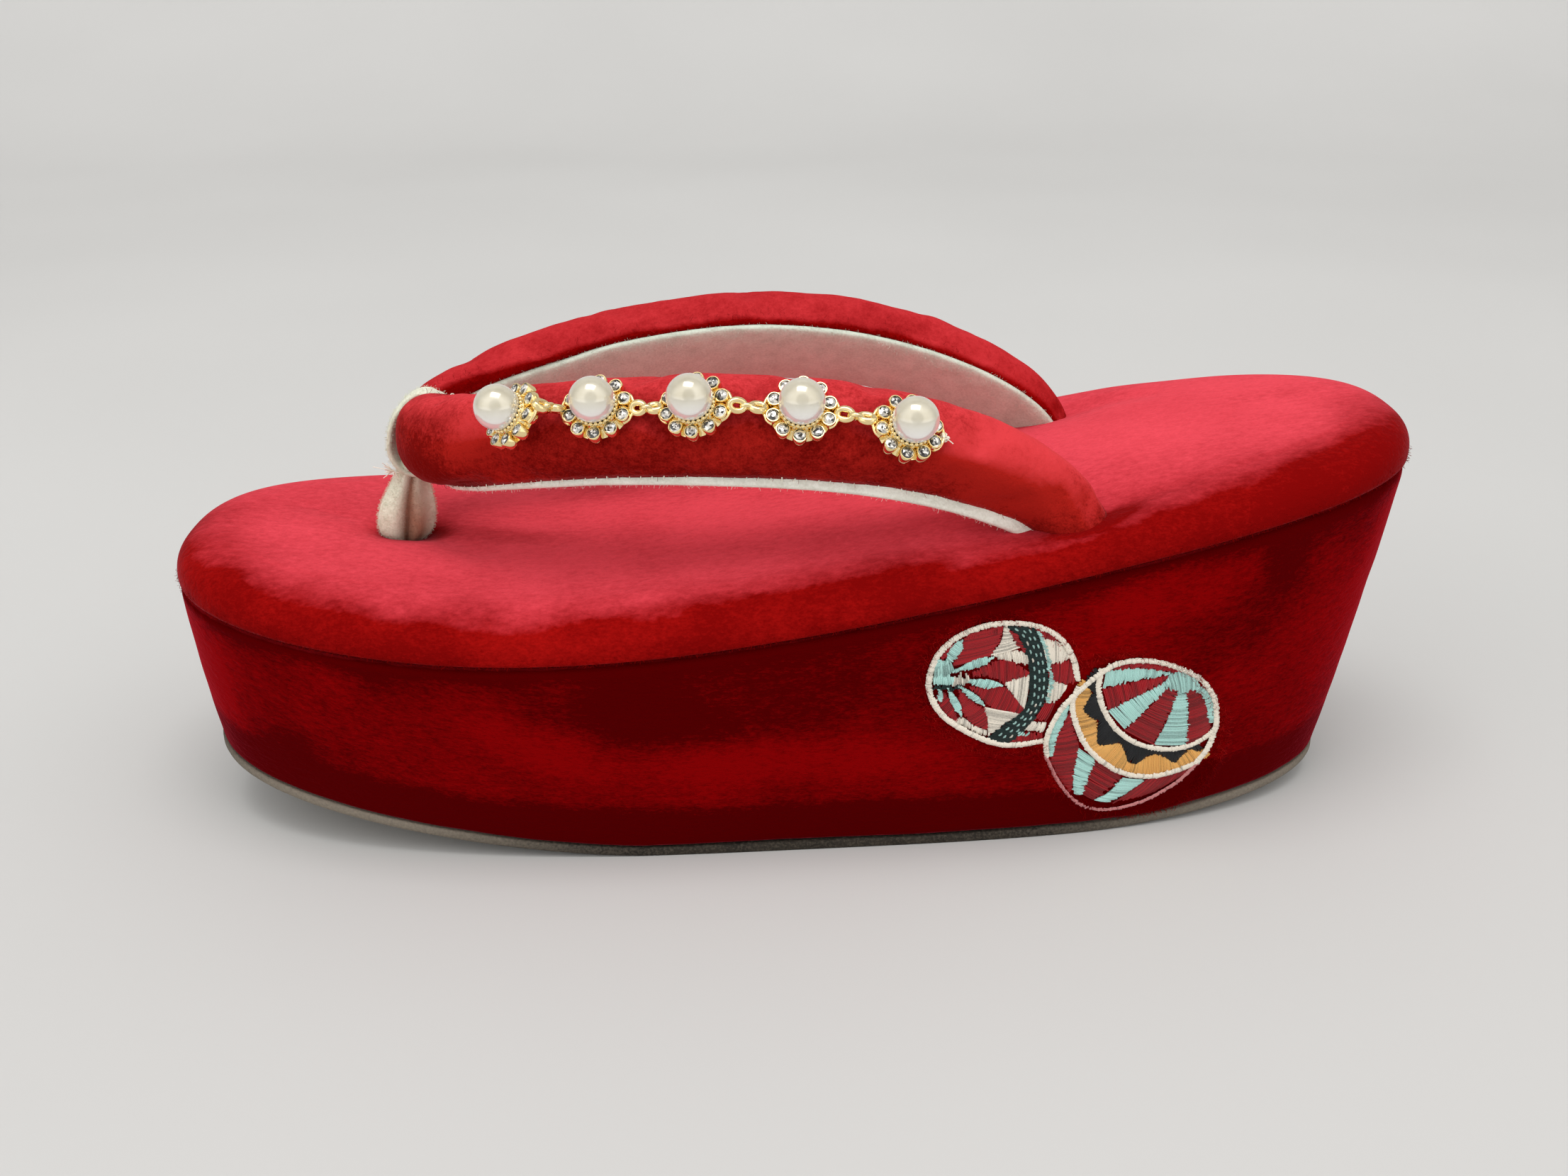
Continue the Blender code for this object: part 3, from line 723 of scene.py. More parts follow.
def pile_tree() -> GrowTree:
    """Builds the tree that grows short bent fibres where the attribute fuzz is above 0."""
    grow = GrowTree("Pile", Density=1.0e6, Length=0.001, Width=0.00006, Lean=0.7, Seed=1)
    ask = grow.given
    density = grow.maths("MULTIPLY", grow.stored("fuzz", "FLOAT"), ask["Density"])
    inputs = {"Mesh": ask["Geometry"], "Density": density, "Seed": ask["Seed"]}
    roots = grow.add("GeometryNodeDistributePointsOnFaces", inputs, distribute_method="RANDOM")
    inputs = {"Start": (0, 0, 0), "Middle": (0, 0, 0.6), "End": (0.35, 0, 1.0), "Resolution": 2}
    line = grow.add("GeometryNodeCurveQuadraticBezier", inputs)["Curve"]
    size = grow.vector(*[ask["Length"]] * 3)
    bent = grow.add("GeometryNodeTransform", {"Geometry": line, "Scale": size})["Geometry"]
    fibre = grow.tube_on(bent, 3, ask["Width"], False)
    tilt = grow.maths("MULTIPLY", ask["Lean"], -1.0)
    low, high = grow.vector(tilt, tilt, -math.pi), grow.vector(ask["Lean"], ask["Lean"], math.pi)
    rotation = grow.turned(roots["Rotation"], low, high)
    grow.end(grow.set_on(roots["Points"], fibre, rotation, grow.about(0.45, 1.2)))
    return grow


def whip_tree() -> GrowTree:
    """Builds the tree that sets whip stitches at a pitch along an edge, facing the attribute out."""
    grow = GrowTree("Whip stitches", Pitch=0.002, Seed=1, Stitch=Piece)
    ask = grow.given
    curve = grow.add("GeometryNodeMeshToCurve", {"Mesh": ask["Geometry"]})["Curve"]
    inputs = {"Curve": curve, "Length": ask["Pitch"]}
    places = grow.add("GeometryNodeResampleCurve", inputs, mode="LENGTH")["Curve"]
    run = grow.add("GeometryNodeInputTangent")["Tangent"]
    inputs = {"Primary Axis": grow.stored("out"), "Secondary Axis": run}
    facing = grow.add("FunctionNodeAxesToRotation", inputs, primary_axis="Z", secondary_axis="X")["Rotation"]
    rotation = grow.turned(facing, (-0.2, -0.3, -0.35), (0.2, 0.3, 0.35))
    stitch = grow.add("GeometryNodeObjectInfo", {"Object": ask["Stitch"]})["Geometry"]
    grow.end(grow.set_on(places, stitch, rotation, grow.about(0.75, 1.25)))
    return grow


def ring_tree() -> GrowTree:
    """Builds the tree that sets copies of a part round a circle, each turned outwards."""
    grow = GrowTree("Ring of parts", Radius=0.005, Count=10, Height=0.0, Part=Piece)
    ask = grow.given
    places = grow.add("GeometryNodeMeshCircle", {"Vertices": ask["Count"], "Radius": ask["Radius"]})["Mesh"]
    where = grow.add("ShaderNodeSeparateXYZ", {0: grow.add("GeometryNodeInputPosition")["Position"]})
    rotation = grow.vector(0.0, 0.0, grow.maths("ARCTAN2", where[1], where[0]))
    part = grow.add("GeometryNodeObjectInfo", {"Object": ask["Part"]})["Geometry"]
    ring = grow.set_on(places, part, rotation)
    lift = grow.vector(0.0, 0.0, ask["Height"])
    grow.end(grow.add("GeometryNodeTransform", {"Geometry": ring, "Translation": lift})["Geometry"])
    return grow


@dataclass(frozen=True)
class Trees:
    """The Geometry Nodes trees that the pieces share."""

    thread: GrowTree = field(default_factory=thread_tree)
    pile: GrowTree = field(default_factory=pile_tree)
    whip: GrowTree = field(default_factory=whip_tree)
    ring: GrowTree = field(default_factory=ring_tree)


TREES = Trees()


def edges_object(name: str, lines: Lines, outs: Lines, tones: Sequence[float] | None = None) -> Piece:
    """Makes a mesh of open lines with the attribute out at each point.

    Args:
        name: The object's name.
        lines: Each line's points, in millimetres.
        outs: The direction out of the surface at each of these points.
        tones: How bright each line is, from 0 to 1, if they differ.

    Returns:
        The object, a tool for a tree.
    """
    mesh = bpy.data.meshes.new(name)
    edges = []
    first = 0
    for line in lines:
        edges += [(first + k, first + k + 1) for k in range(len(line) - 1)]
        first += len(line)
    mesh.from_pydata((np.vstack(lines) * MM).tolist(), edges, [])
    attribute = mesh.attributes.new("out", "FLOAT_VECTOR", "POINT")
    attribute.data.foreach_set("vector", np.vstack(outs).astype(np.float32).ravel())
    tool = placed(name, mesh)
    if tones is not None:
        mark(tool, "tone", np.repeat(tones, [len(line) for line in lines]))
    return tool


def mark(piece: Piece, name: str, values: Array) -> None:
    """Stores a number at each point of a piece, and 0 at the last ones if there are too few."""
    attribute = piece.data.attributes.new(name, "FLOAT", "POINT")
    numbers = np.zeros(len(piece.data.vertices), np.float32)
    numbers[: np.size(values)] = np.ravel(values)
    attribute.data.foreach_set("value", numbers)


@dataclass(frozen=True)
class Brush:
    """A soft patch where a pile is brushed another way or painted lighter or darker, a surface is paler, or
    it is dented.

    It has its middle across and up, its half width and height, and a turn in degrees.
    """

    across: float
    up: float
    wide: float
    high: float
    amount: float
    turn: float = 0.0

    def at(self, across: Array, up: Array) -> Array:
        """How strongly the patch works on each point."""
        angle = math.radians(self.turn)
        x, y = across - self.across, up - self.up
        u = (x * math.cos(angle) + y * math.sin(angle)) / self.wide
        v = (y * math.cos(angle) - x * math.sin(angle)) / self.high
        return self.amount * np.exp(-((u * u + v * v) ** 1.5))


def brushed(brushes: Rows, across: Array, up: Array) -> Array:
    """How strongly some patches, each a row of a Brush's numbers, work together on each point."""
    return sum(Brush(*row).at(across, up) for row in brushes)


def copy_of(piece: Piece) -> Piece:
    """Returns a copy of a piece with its own mesh, for a tree to use up."""
    return placed(piece.name, piece.data.copy())


def show(piece: Piece, slot: Slot, *nodes: str, fill: float | None = None) -> None:
    """Hands a finished piece to the frame and logs it.

    Args:
        piece: The finished piece.
        slot: The record's slot; not used.
        nodes: The solids that it stands for.
        fill: How full it is, if it is padded; not used.
    """
    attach(piece, BODY)
    if nodes:
        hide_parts(*nodes)
    piece.data.calc_loop_triangles()
    LOG.info("%s: %d triangles", piece.name, len(piece.data.loop_triangles))


@dataclass(frozen=True)
class Fibres:
    """How a cloth's fibres stand: how many on a square metre, how long and wide, and how far they lean."""

    density: float
    length: float
    width: float
    lean: float

    def grow(self, piece: Piece, name: str, finish: Surface, slot: Slot, seed: int) -> None:
        """Grows fibres on a copy of a piece, where its attribute fuzz is above 0.

        Args:
            piece: The cloth.
            name: The new piece's name.
            finish: The new piece's finish.
            slot: The record's slot for it.
            seed: The start of its random numbers.
        """
        pile = TREES.pile.run(
            copy_of(piece), name, finish, Density=self.density, Length=self.length * MM,
            Width=self.width * MM, Lean=self.lean, Seed=seed,
        )
        show(pile, slot)


@dataclass(frozen=True)
class Plan:
    """An even walk round the sole's outline, from the toe by the outer side."""

    points: Array
    outward: Array
    arc: Array
    total: float


@dataclass(frozen=True)
class Ball:
    """Where a thread ball lies on the wall: along from the widest place, and up.

    Its chart is flat, in millimetres from its middle as the ball looks from the front.
    The wall turns away and leans, so the chart is widened, slanted and bent onto it.
    """

    along: float
    up: float
    half_width: float
    half_height: float
    widen: float = 1.01
    slant: float = -0.085
    bend: float = 0.0
    twist: float = 0.0
    heighten: float = 1.03
    drop: float = -0.078
    sag: float = 0.0015
    chart_limit: float = 30.0

    def wrap(self, chart: Array) -> Array:
        """Takes places of the chart to distances along and up the wall."""
        x, y = chart[..., 0], chart[..., 1]
        along = self.along + self.widen * x + self.slant * y + self.bend * x * x + self.twist * x * y
        up = self.up + self.drop * x + self.heighten * y - self.sag * (x * x + y * y)
        return np.stack([along, up], axis=-1)

    def beyond(self, along: Array, up: Array) -> Array:
        """How far outside the ball's edge each place of the wall is."""
        limit = self.chart_limit
        x = np.clip((along - self.along) / self.widen, -limit, limit)
        y = np.clip((up - self.up) / self.heighten, -limit, limit)
        for _ in range(4):
            wrapped = self.wrap(np.stack([x, y], axis=-1))
            x = np.clip(x + (along - wrapped[..., 0]) / self.widen, -limit, limit)
            y = np.clip(y + (up - wrapped[..., 1]) / self.heighten, -limit, limit)
        return (np.hypot(x / self.half_width, y / self.half_height) - 1.0) * self.half_width


BACK_BALL = Ball(along=37.2, up=36.8, half_width=14.5, half_height=13.6)
FRONT_BALL = Ball(
    along=63.5, up=23.1, half_width=16.4, half_height=17.0, widen=1.14, slant=-0.16, bend=0.0035,
    twist=-0.0036, heighten=1.07, drop=-0.15, sag=0.0022,
)


@dataclass(frozen=True)
class Sole:
    """The last: the plan at the seam, the seam's heights, the rocker and the wall."""

    length: float = 240.0
    mid_half_width: float = 44.35
    taper_to_heel: float = -3.95
    spread_at_ends: float = 3.14
    toe_roundness: float = 2.585
    heel_roundness: float = 2.883
    side_roundness: float = 2.392
    toe_rise: float = 14.7
    toe_rise_start: float = -30.0
    toe_rise_power: float = 1.45
    heel_rise: float = 6.4
    heel_rise_start: float = 54.0
    heel_rise_power: float = 1.6
    outsole_thickness: float = 1.8
    outsole_edge: float = 0.5
    gap: float = 0.3
    lean_side: float = 8.1
    lean_toe: float = 3.1
    lean_heel: float = 10.6
    wall_fullness: float = 0.5
    wall_foot_roll: float = 0.8
    wall_top_roll: float = 1.6
    pad_height: float = 9.8
    pad_shoulder: float = 10.7
    pad_overhang: float = 1.0
    pad_undercut: float = 1.5
    pressed: float = 0.25
    ridge_height: float = 0.5
    ridge_width: float = 0.9
    seam_levels: tuple[float, ...] = (49.4, 45.8, 43.8, 44.7, 48.2, 53.5, 59.3, 64.5, 69.2)
    around: int = 480
    rungs: int = 64

    def plan(self, count: int) -> Plan:
        """Walks the outline at the seam in even steps.

        Args:
            count: The number of steps.

        Returns:
            The outline.
        """
        turn = np.linspace(0.0, 2 * np.pi, 16 * count, endpoint=False)
        reach = -np.cos(turn)
        roundness = np.where(reach < 0, self.toe_roundness, self.heel_roundness)
        share = np.sign(reach) * np.abs(reach) ** (2 / roundness)
        half = self.mid_half_width + self.taper_to_heel * share + self.spread_at_ends * share**2
        full = np.clip(1 - np.abs(share) ** roundness, 0, 1) ** (1 / self.side_roundness)
        side = np.where(turn < np.pi, -1.0, 1.0)
        dense = np.stack([share * self.length / 2, side * half * full], axis=1)
        dense = np.vstack([dense, dense[:1]])
        arc = travelled(dense)
        places = np.arange(count) * arc[-1] / count
        points = read_at(places, arc, dense)
        run = np.roll(points, -1, axis=0) - np.roll(points, 1, axis=0)
        outward = unit(np.stack([run[:, 1], -run[:, 0]], axis=1))
        return Plan(points, outward, places, float(arc[-1]))

    def seam(self, x: Array) -> Array:
        """Height of the seam at places along."""
        levels = np.array(self.seam_levels)
        last = len(levels) - 2
        place = (x + self.length / 2) * (last + 1) / self.length
        k = np.clip(np.floor(place).astype(int), 0, last)
        u = place - k
        start, end = levels[k], levels[k + 1]
        before = np.where(k > 0, levels[np.maximum(k - 1, 0)], 2 * start - end)
        after = np.where(k < last, levels[np.minimum(k + 2, last + 1)], 2 * end - start)
        rise = (1 + 2 * u) * (1 - u) ** 2 * start + u * (1 - u) ** 2 * (end - before) / 2
        return rise + u * u * (3 - 2 * u) * end + u * u * (u - 1) * (after - start) / 2

    def floor(self, x: Array) -> Array:
        """Height of the rocker bottom at places along."""
        half = self.length / 2
        toe = np.maximum(0.0, (self.toe_rise_start - x) / (half + self.toe_rise_start))
        heel = np.maximum(0.0, (x - self.heel_rise_start) / (half - self.heel_rise_start))
        return self.toe_rise * toe**self.toe_rise_power + self.heel_rise * heel**self.heel_rise_power

    def lean(self, x: Array) -> Array:
        """How far the wall's foot leans in at places along the seam."""
        share = x / (self.length / 2)
        end = np.where(share < 0, self.lean_toe, self.lean_heel)
        return self.lean_side + (end - self.lean_side) * share**4

    def ring(self, plan: Plan, inset: Array | float, height: Rise) -> Array:
        """Moves the plan in and up.

        Args:
            plan: The outline.
            inset: How far in each point goes.
            height: The height at each place along.

        Returns:
            The ring's points.
        """
        moved = plan.points - plan.outward * np.broadcast_to(inset, plan.arc.shape)[:, None]
        return np.column_stack([moved, height(moved[:, 0])])

    def wall_ring(self, plan: Plan, share: float, inset: float) -> Array:
        """A ring of the wall at a share of the way up, with an extra inset."""
        foot = self.outsole_thickness + self.gap

        def height(x: Array) -> Array:
            low = self.floor(x) + foot
            return low + (self.seam(x) - low) * share

        bulge = self.wall_fullness * math.sin(math.pi * share)
        return self.ring(plan, self.lean(plan.points[:, 0]) * (1 - share) - bulge + inset, height)

    def widest(self, plan: Plan) -> float:
        """How far along the outline the middle of the outer side lies."""
        half = len(plan.arc) // 2
        return float(np.interp(0.0, plan.points[:half, 0], plan.arc[:half]))

    def press(self, along: Array, up: Array) -> Array:
        """How the thread balls press the pile down, and the ridge of pile round them."""
        lift = np.zeros_like(along)
        inside = np.zeros(along.shape, bool)
        for ball in (BACK_BALL, FRONT_BALL):
            away = ball.beyond(along, up)
            inside |= away < 0
            ridge = np.exp(-(((away - 1.0) / self.ridge_width) ** 2))
            lift = np.maximum(lift, self.ridge_height * ridge)
        return np.where(inside, -self.pressed, lift)

    def relief(self, points: Array) -> Array:
        """How the glued velvet stands off the core, in soft lumps."""
        return 0.30 * lumps(points, 24.0, 3.0) + 0.10 * lumps(points, 6.0, 5.0)

    def on_wall(self, along: Array, up: Array, lift: float) -> tuple[Array, Array]:
        """Places points of the thread work on the outer wall.

        Args:
            along: Distances along the outline from its widest place.
            up: Heights above the floor.
            lift: How far off the cloth the points stand.

        Returns:
            The points, and the direction out of the wall at each.
        """
        plan = self.plan(self.around)
        place = self.widest(plan) + along
        seam = read_at(place, plan.arc, plan.points)
        outward = unit(read_at(place, plan.arc, plan.outward))
        x = seam[:, 0]
        for _ in range(3):
            low = self.floor(x) + self.outsole_thickness + self.gap
            share = (up - low) / (self.seam(x) - low)
            inset = self.lean(seam[:, 0]) * (1 - share) - self.wall_fullness * np.sin(np.pi * share)
            x = seam[:, 0] - outward[:, 0] * inset
        base = np.column_stack([seam - outward * inset[:, None], up])
        off = self.relief(base) + lift - self.pressed
        out = np.column_stack([outward, np.zeros(len(up))])
        return base + out * off[:, None], out


SOLE = Sole()


def rung_cap(ring: Array, first: int, start: int, across: int, height: Rise | None) -> tuple[Array, list]:
    """Closes a plan ring with rungs from its outer to its inner side.

    Args:
        ring: The ring's points, from the toe.
        first: The number of the ring's first point.
        start: The number that the first new point gets.
        across: The steps on a rung.
        height: The height of new points, if they aren't level.

    Returns:
        The new points and the faces.
    """
    count = len(ring)
    half = count // 2
    share = np.arange(1, across) / across
    outer, inner = ring[1:half], ring[count - 1 : half : -1]
    middle = outer[:, None] * (1 - share[None, :, None]) + inner[:, None] * share[None, :, None]
    if height is not None:
        middle[..., 2] = height(middle)
    rungs = np.arange(half)
    number = np.zeros((half, across + 1), int)
    number[:, 0], number[:, across] = first + rungs, first + (count - rungs) % count
    number[1:, 1:across] = start + np.arange(middle[..., 0].size).reshape(half - 1, across - 1)
    n = number.tolist()
    faces: list[tuple[int, ...]] = []
    for step in range(across):
        after = step + 1
        faces.append((first, n[1][step], n[1][after]))
        faces.append((first + half, n[-1][after], n[-1][step]))
        faces += [(low[step], high[step], high[after], low[after]) for low, high in zip(n[1:], n[2:])]
    return middle.reshape(-1, 3), faces


def capped(rings: Array, across: int = 1, height: Rise | None = None) -> tuple[Array, list]:
    """Returns the points and faces of a stack of plan rings with a closed bottom and top."""
    points, faces = rings.reshape(-1, 3), loft(rings)
    rows, count = rings.shape[:2]
    for row, steps, rise in ((0, 1, None), (rows - 1, across, height)):
        extra, caps = rung_cap(rings[row], row * count, len(points), steps, rise)
        faces += caps
        points = np.vstack([points, extra])
    return points, faces


@dataclass(frozen=True)
class Outsole:
    """The thin grey sheet under the platform."""

    sole: Sole = SOLE
    proud: float = 0.25
    # paler towards the toe and the heel
    pale_patches: Rows = (
        (-92, -32, 42, 26, 0.9), (100, -26, 44, 26, 0.8),
    )

    def build(self) -> None:
        """Makes the sheet with rounded edges."""
        sole = self.sole
        plan = sole.plan(sole.around)
        lean = sole.lean(plan.points[:, 0]) - self.proud
        thick, edge = sole.outsole_thickness, sole.outsole_edge
        # inset and height of each ring
        rows = (
            (edge, 0.0), (0.35 * edge, 0.15 * edge), (0.0, edge),
            (0.0, thick - edge), (0.35 * edge, thick - 0.1), (edge, thick),
        )
        rings = np.array([
            sole.ring(plan, lean + inset, lambda x, up=up: sole.floor(x) + up) for inset, up in rows
        ])
        points, faces = capped(rings)
        piece = as_object("outsole_sheet", points, faces, SheetRubber())
        mark(piece, "dust", 0.02 + brushed(self.pale_patches, points[:, 0], points[:, 1]))
        show(piece, Slot.RUBBER, "outsole")


@dataclass(frozen=True)
class Platform:
    """The core wrapped in velvet, from the outsole up to the seam."""

    sole: Sole = SOLE
    rows: int = 46
    roll_rows: int = 6
    # painted shade towards the foot of the wall, and painted shadow under the footbed's rim
    dark_foot: float = 13.0
    foot_fade: float = 7.0
    foot_shade: float = 1.8
    dark_rim: float = 2.2
    rim_shade: float = 1.6
    halo_width: float = 1.4
    pile: Fibres = Fibres(9.0e6, 0.95, 0.03, 0.9)
    # patches of lighter and darker pile; the light ones at the toe and heel ends are painted sheen
    brushes: Rows = (
        (-11, 37, 34, 10, -0.5), (-28, 33.5, 16, 7, -0.5, -12), (-48, 27, 12, 6, 0.5, -20),
        (-5, 22, 30, 5.5, 0.5), (-120, 38, 12, 14, 0.9), (-101, 22, 8, 5, -0.7), (68, 54, 20, 8, 0.5, 15),
        (90.5, 56, 6, 7, -0.7), (80, 42, 16, 8, -0.5, 20), (125, 50, 12, 24, 1.2),
        (205, 45, 22, 12, -0.7, -15), (268, 32, 30, 8, -0.8), (335, 26, 20, 7, 0.5),
    )

    def profile(self) -> list[Point]:
        """Shares of the way up the wall, and the inset at each."""
        sole = self.sole
        turns = [math.pi / 2 * k / self.roll_rows for k in range(self.roll_rows + 1)]
        foot = [(0.02 * (1 - math.cos(t)), sole.wall_foot_roll * (1 - math.sin(t))) for t in turns]
        top = [(0.95 + 0.05 * math.sin(t), sole.wall_top_roll * (1 - math.cos(t))) for t in turns]
        between = np.linspace(0.02, 0.95, self.rows)[1:-1]
        return foot + [(float(share), 0.0) for share in between] + top

    def build(self) -> None:
        """Makes the wrapped wall and its edge of pile."""
        sole = self.sole
        plan = sole.plan(sole.around)
        rings = np.array([sole.wall_ring(plan, share, inset) for share, inset in self.profile()])
        along = np.broadcast_to(plan.arc - sole.widest(plan), rings.shape[:2])
        off = sole.relief(rings) + sole.press(along, rings[..., 2])
        off[[0, -1]] = 0.0
        rings[..., :2] += plan.outward[None] * off[..., None]
        piece = as_object("platform_cover", *capped(rings), WALL_VELVET)
        self.unwrap(piece, self.uv(rings, plan), plan.total * MM)
        mark(piece, "nap", self.nap(along, rings))
        mark(piece, "fuzz", self.halo(along, rings[..., 2]))
        show(piece, Slot.DEEP_VELVET, "platform")
        self.pile.grow(piece, "platform_cover_pile", WALL_PILE, Slot.DEEP_VELVET, 15)

    def nap(self, along: Array, rings: Array) -> Array:
        """How the wall's pile is shaded: listed patches, painted shade towards the foot and a painted shadow
        under the rim.
        """
        up = rings[..., 2]
        foot = np.clip((self.dark_foot - (up - self.sole.floor(rings[..., 0]))) / self.foot_fade, 0, 1)
        rim = np.exp(-(self.sole.seam(rings[..., 0]) - up) / self.dark_rim)
        # painted shade towards the foot and painted shadow under the rim
        return brushed(self.brushes, along, up) - self.foot_shade * foot - self.rim_shade * rim

    def halo(self, along: Array, up: Array) -> Array:
        """Where the needle has raised the pile, just outside the thread balls."""
        back, front = BACK_BALL.beyond(along, up), FRONT_BALL.beyond(along, up)
        near = np.minimum(np.abs(back - 0.7), np.abs(front - 0.7))
        outside = (back > -0.1) & (front > -0.1)
        return np.where(outside, np.clip(1.0 - near / self.halo_width, 0, 1), 0.0)

    def uv(self, rings: Array, plan: Plan) -> Array:
        """Distances along and up the wall for each point, in metres."""
        steps = np.linalg.norm(np.diff(rings, axis=0), axis=2)
        up = np.vstack([np.zeros(rings.shape[1]), np.cumsum(steps, axis=0)])
        return np.stack([np.broadcast_to(plan.arc, up.shape), up], axis=2).reshape(-1, 2) * MM

    def unwrap(self, piece: Piece, uv: Array, total: float) -> None:
        """Stores the wall's own coordinates, with the join on the inner side."""
        layer = piece.data.uv_layers.new(name="Cloth")
        for polygon in piece.data.polygons:
            corners = [uv[v] for v in polygon.vertices]
            wraps = max(c[0] for c in corners) - min(c[0] for c in corners) > total / 2
            for loop, corner in zip(polygon.loop_indices, corners):
                shift = total if wraps and corner[0] < total / 2 else 0.0
                layer.data[loop].uv = (corner[0] + shift, corner[1])


@dataclass(frozen=True)
class Footbed:
    """The padded top board, crowned, with dents where the bands and the post go in."""

    sole: Sole = SOLE
    crown: float = 0.9
    side_rows: int = 26
    # painted shade towards the outer edge: its strength and width
    edge_shade: float = 1.5
    edge_width: float = 11.0
    base_inset: float = 8.0
    crown_fade: float = 30.0
    softness: float = 0.22
    # painted shade in the groove along the seam
    groove_shade: float = 1.5
    groove_share: float = 0.10
    pile_share: float = 0.28
    pile: Fibres = Fibres(3.6e6, 0.6, 0.035, 1.0)
    # along and to the side at the start and the end, depth, width
    troughs: Rows = (
        (-78, 0, -75.5, 0, 3, 6), (74, 16, 96, 14, -1.2, 24), (43, -28.5, 54, -28.5, 1.8, 8),
        (47, 22.5, 58, 22.5, 1.8, 8), (58, -31, 68, -29, 0.6, 4), (30, -36.5, 52, -36, 1, 4.5),
        (60, 23, 74, 19, 0.7, 3.5), (-88, 3, -98, 8, 0.35, 2.5), (-70, -5, -60, -14, 0.4, 3),
    )
    # patches of lighter and darker pile; most dark ones are painted shade and shadow: on the heel and toe
    # shoulders, under and beside the post, under the outer band's end and below the outer band
    brushes: Rows = (
        (110, -14, 8, 15, -0.8, -15), (100, -31, 26, 11, -1.5, 18), (95, 6, 9, 3.5, -0.4, 8),
        (-109, -20, 9, 19, -0.7, 22), (-74, -43, 22, 5, -0.4, -8), (12, -38, 46, 4.5, -0.5),
        (-40, -33, 30, 6, 0.3), (72, 8, 22, 14, 0.3), (-20, 20, 34, 9, -0.2, 6),
        (84, -41, 20, 6, -1.6, 18), (-98, 4, 24, 22, -0.35), (-75, -1.5, 7, 6, -3),
        (-58, -5, 16, 4, -1, -14), (53, -34, 9, 3, -2.4, 14),
    )

    def sink(self, points: Array) -> Array:
        """How far the listed troughs lower each point."""
        sunk = np.zeros(len(points))
        for *ends, depth, width in self.troughs:
            start, end = np.reshape(ends, (2, 2))
            run = end - start
            share = np.clip(((points[:, :2] - start) @ run) / (run @ run), 0.0, 1.0)
            away = np.linalg.norm(points[:, :2] - (start + share[:, None] * run), axis=1)
            sunk += depth * np.exp(-((away / width) ** 2))
        return sunk

    def build(self) -> None:
        """Makes the pad and the plush edge along its seam."""
        sole = self.sole
        plan = sole.plan(sole.around)
        turns = np.radians(np.linspace(3.0, 90.0, self.side_rows))
        rows = [(self.base_inset, 0.0), (sole.pad_undercut, 0.0)]
        for turn in turns:
            inset = sole.pad_shoulder * (1 - math.cos(turn)) - sole.pad_overhang * math.sin(2 * turn)
            rows.append((inset, (sole.pad_height - sole.gap) * math.sin(turn)))
        rings = np.array([
            sole.ring(plan, inset, lambda x, up=up: sole.seam(x) + sole.gap + up) for inset, up in rows
        ])
        half_width = sole.mid_half_width - sole.pad_shoulder

        def top(inner: Array) -> Array:
            """Height of the crowned top."""
            bulge = self.crown * (1 - np.clip(np.abs(inner[..., 1]) / half_width, 0, 1) ** 2)
            inside = sole.length / 2 - sole.pad_shoulder - np.abs(inner[..., 0])
            ends = np.clip(inside / self.crown_fade, 0, 1)
            return sole.seam(inner[..., 0]) + sole.pad_height + bulge * ends

        points, faces = capped(rings, sole.rungs, top)
        side = np.arange(len(points)) < len(rows) * sole.around
        rise = np.clip((points[:, 2] - sole.seam(points[:, 0])) / sole.pad_height, 0, 1)
        points[:, 2] -= self.sink(points) * rise
        points[:, 2] += self.softness * lumps(points, 16.0, 7.0) * rise
        piece = as_object("footbed_cover", points, faces, FOOTBED_VELVET)
        fuzz = np.where(side, np.clip(1 - rise / self.pile_share, 0, 1), 0.0)
        fuzz[: sole.around] = 0.0
        mark(piece, "fuzz", fuzz)
        # painted shade in the groove under the pad's rolled edge
        groove = self.groove_shade * np.where(side, np.exp(-rise / self.groove_share), 0.0)
        # patches of pile with painted shade and shadow
        nap_and_painted_shade = brushed(self.brushes, points[:, 0], points[:, 1])
        mark(piece, "nap", nap_and_painted_shade + self.edge_nap(plan, points) - groove)
        show(piece, Slot.VELVET, "footbed", fill=0.9)
        self.pile.grow(piece, "footbed_edge_pile", EDGE_PILE, Slot.VELVET, 11)

    def edge_nap(self, plan: Plan, points: Array) -> Array:
        """Painted shade towards the edge, strongest on the outer side, weaker round the ends, in a wide,
        uneven border.
        """
        away = np.array([np.hypot(*(plan.points - point[:2]).T).min() for point in points])
        streaks = 0.5 * lumps(points * (0.4, 1.0, 1.0), 5.0, 19.0)
        streaks += 0.3 * lumps(points * (0.5, 1.0, 1.0), 2.4, 20.0)
        uneven = 1.0 + 0.5 * lumps(points, 15.0, 17.0) + streaks
        near_side = np.clip(0.55 - points[:, 1] / 40.0, 0.0, 1.0)
        return -self.edge_shade * near_side * uneven * np.exp(-((away / self.edge_width) ** 2))


@dataclass(frozen=True)
class Sections:
    """The frames along a band: its rows, its backs and its three directions."""

    rows: Array
    back: Array
    run: Array
    up: Array
    face: Array


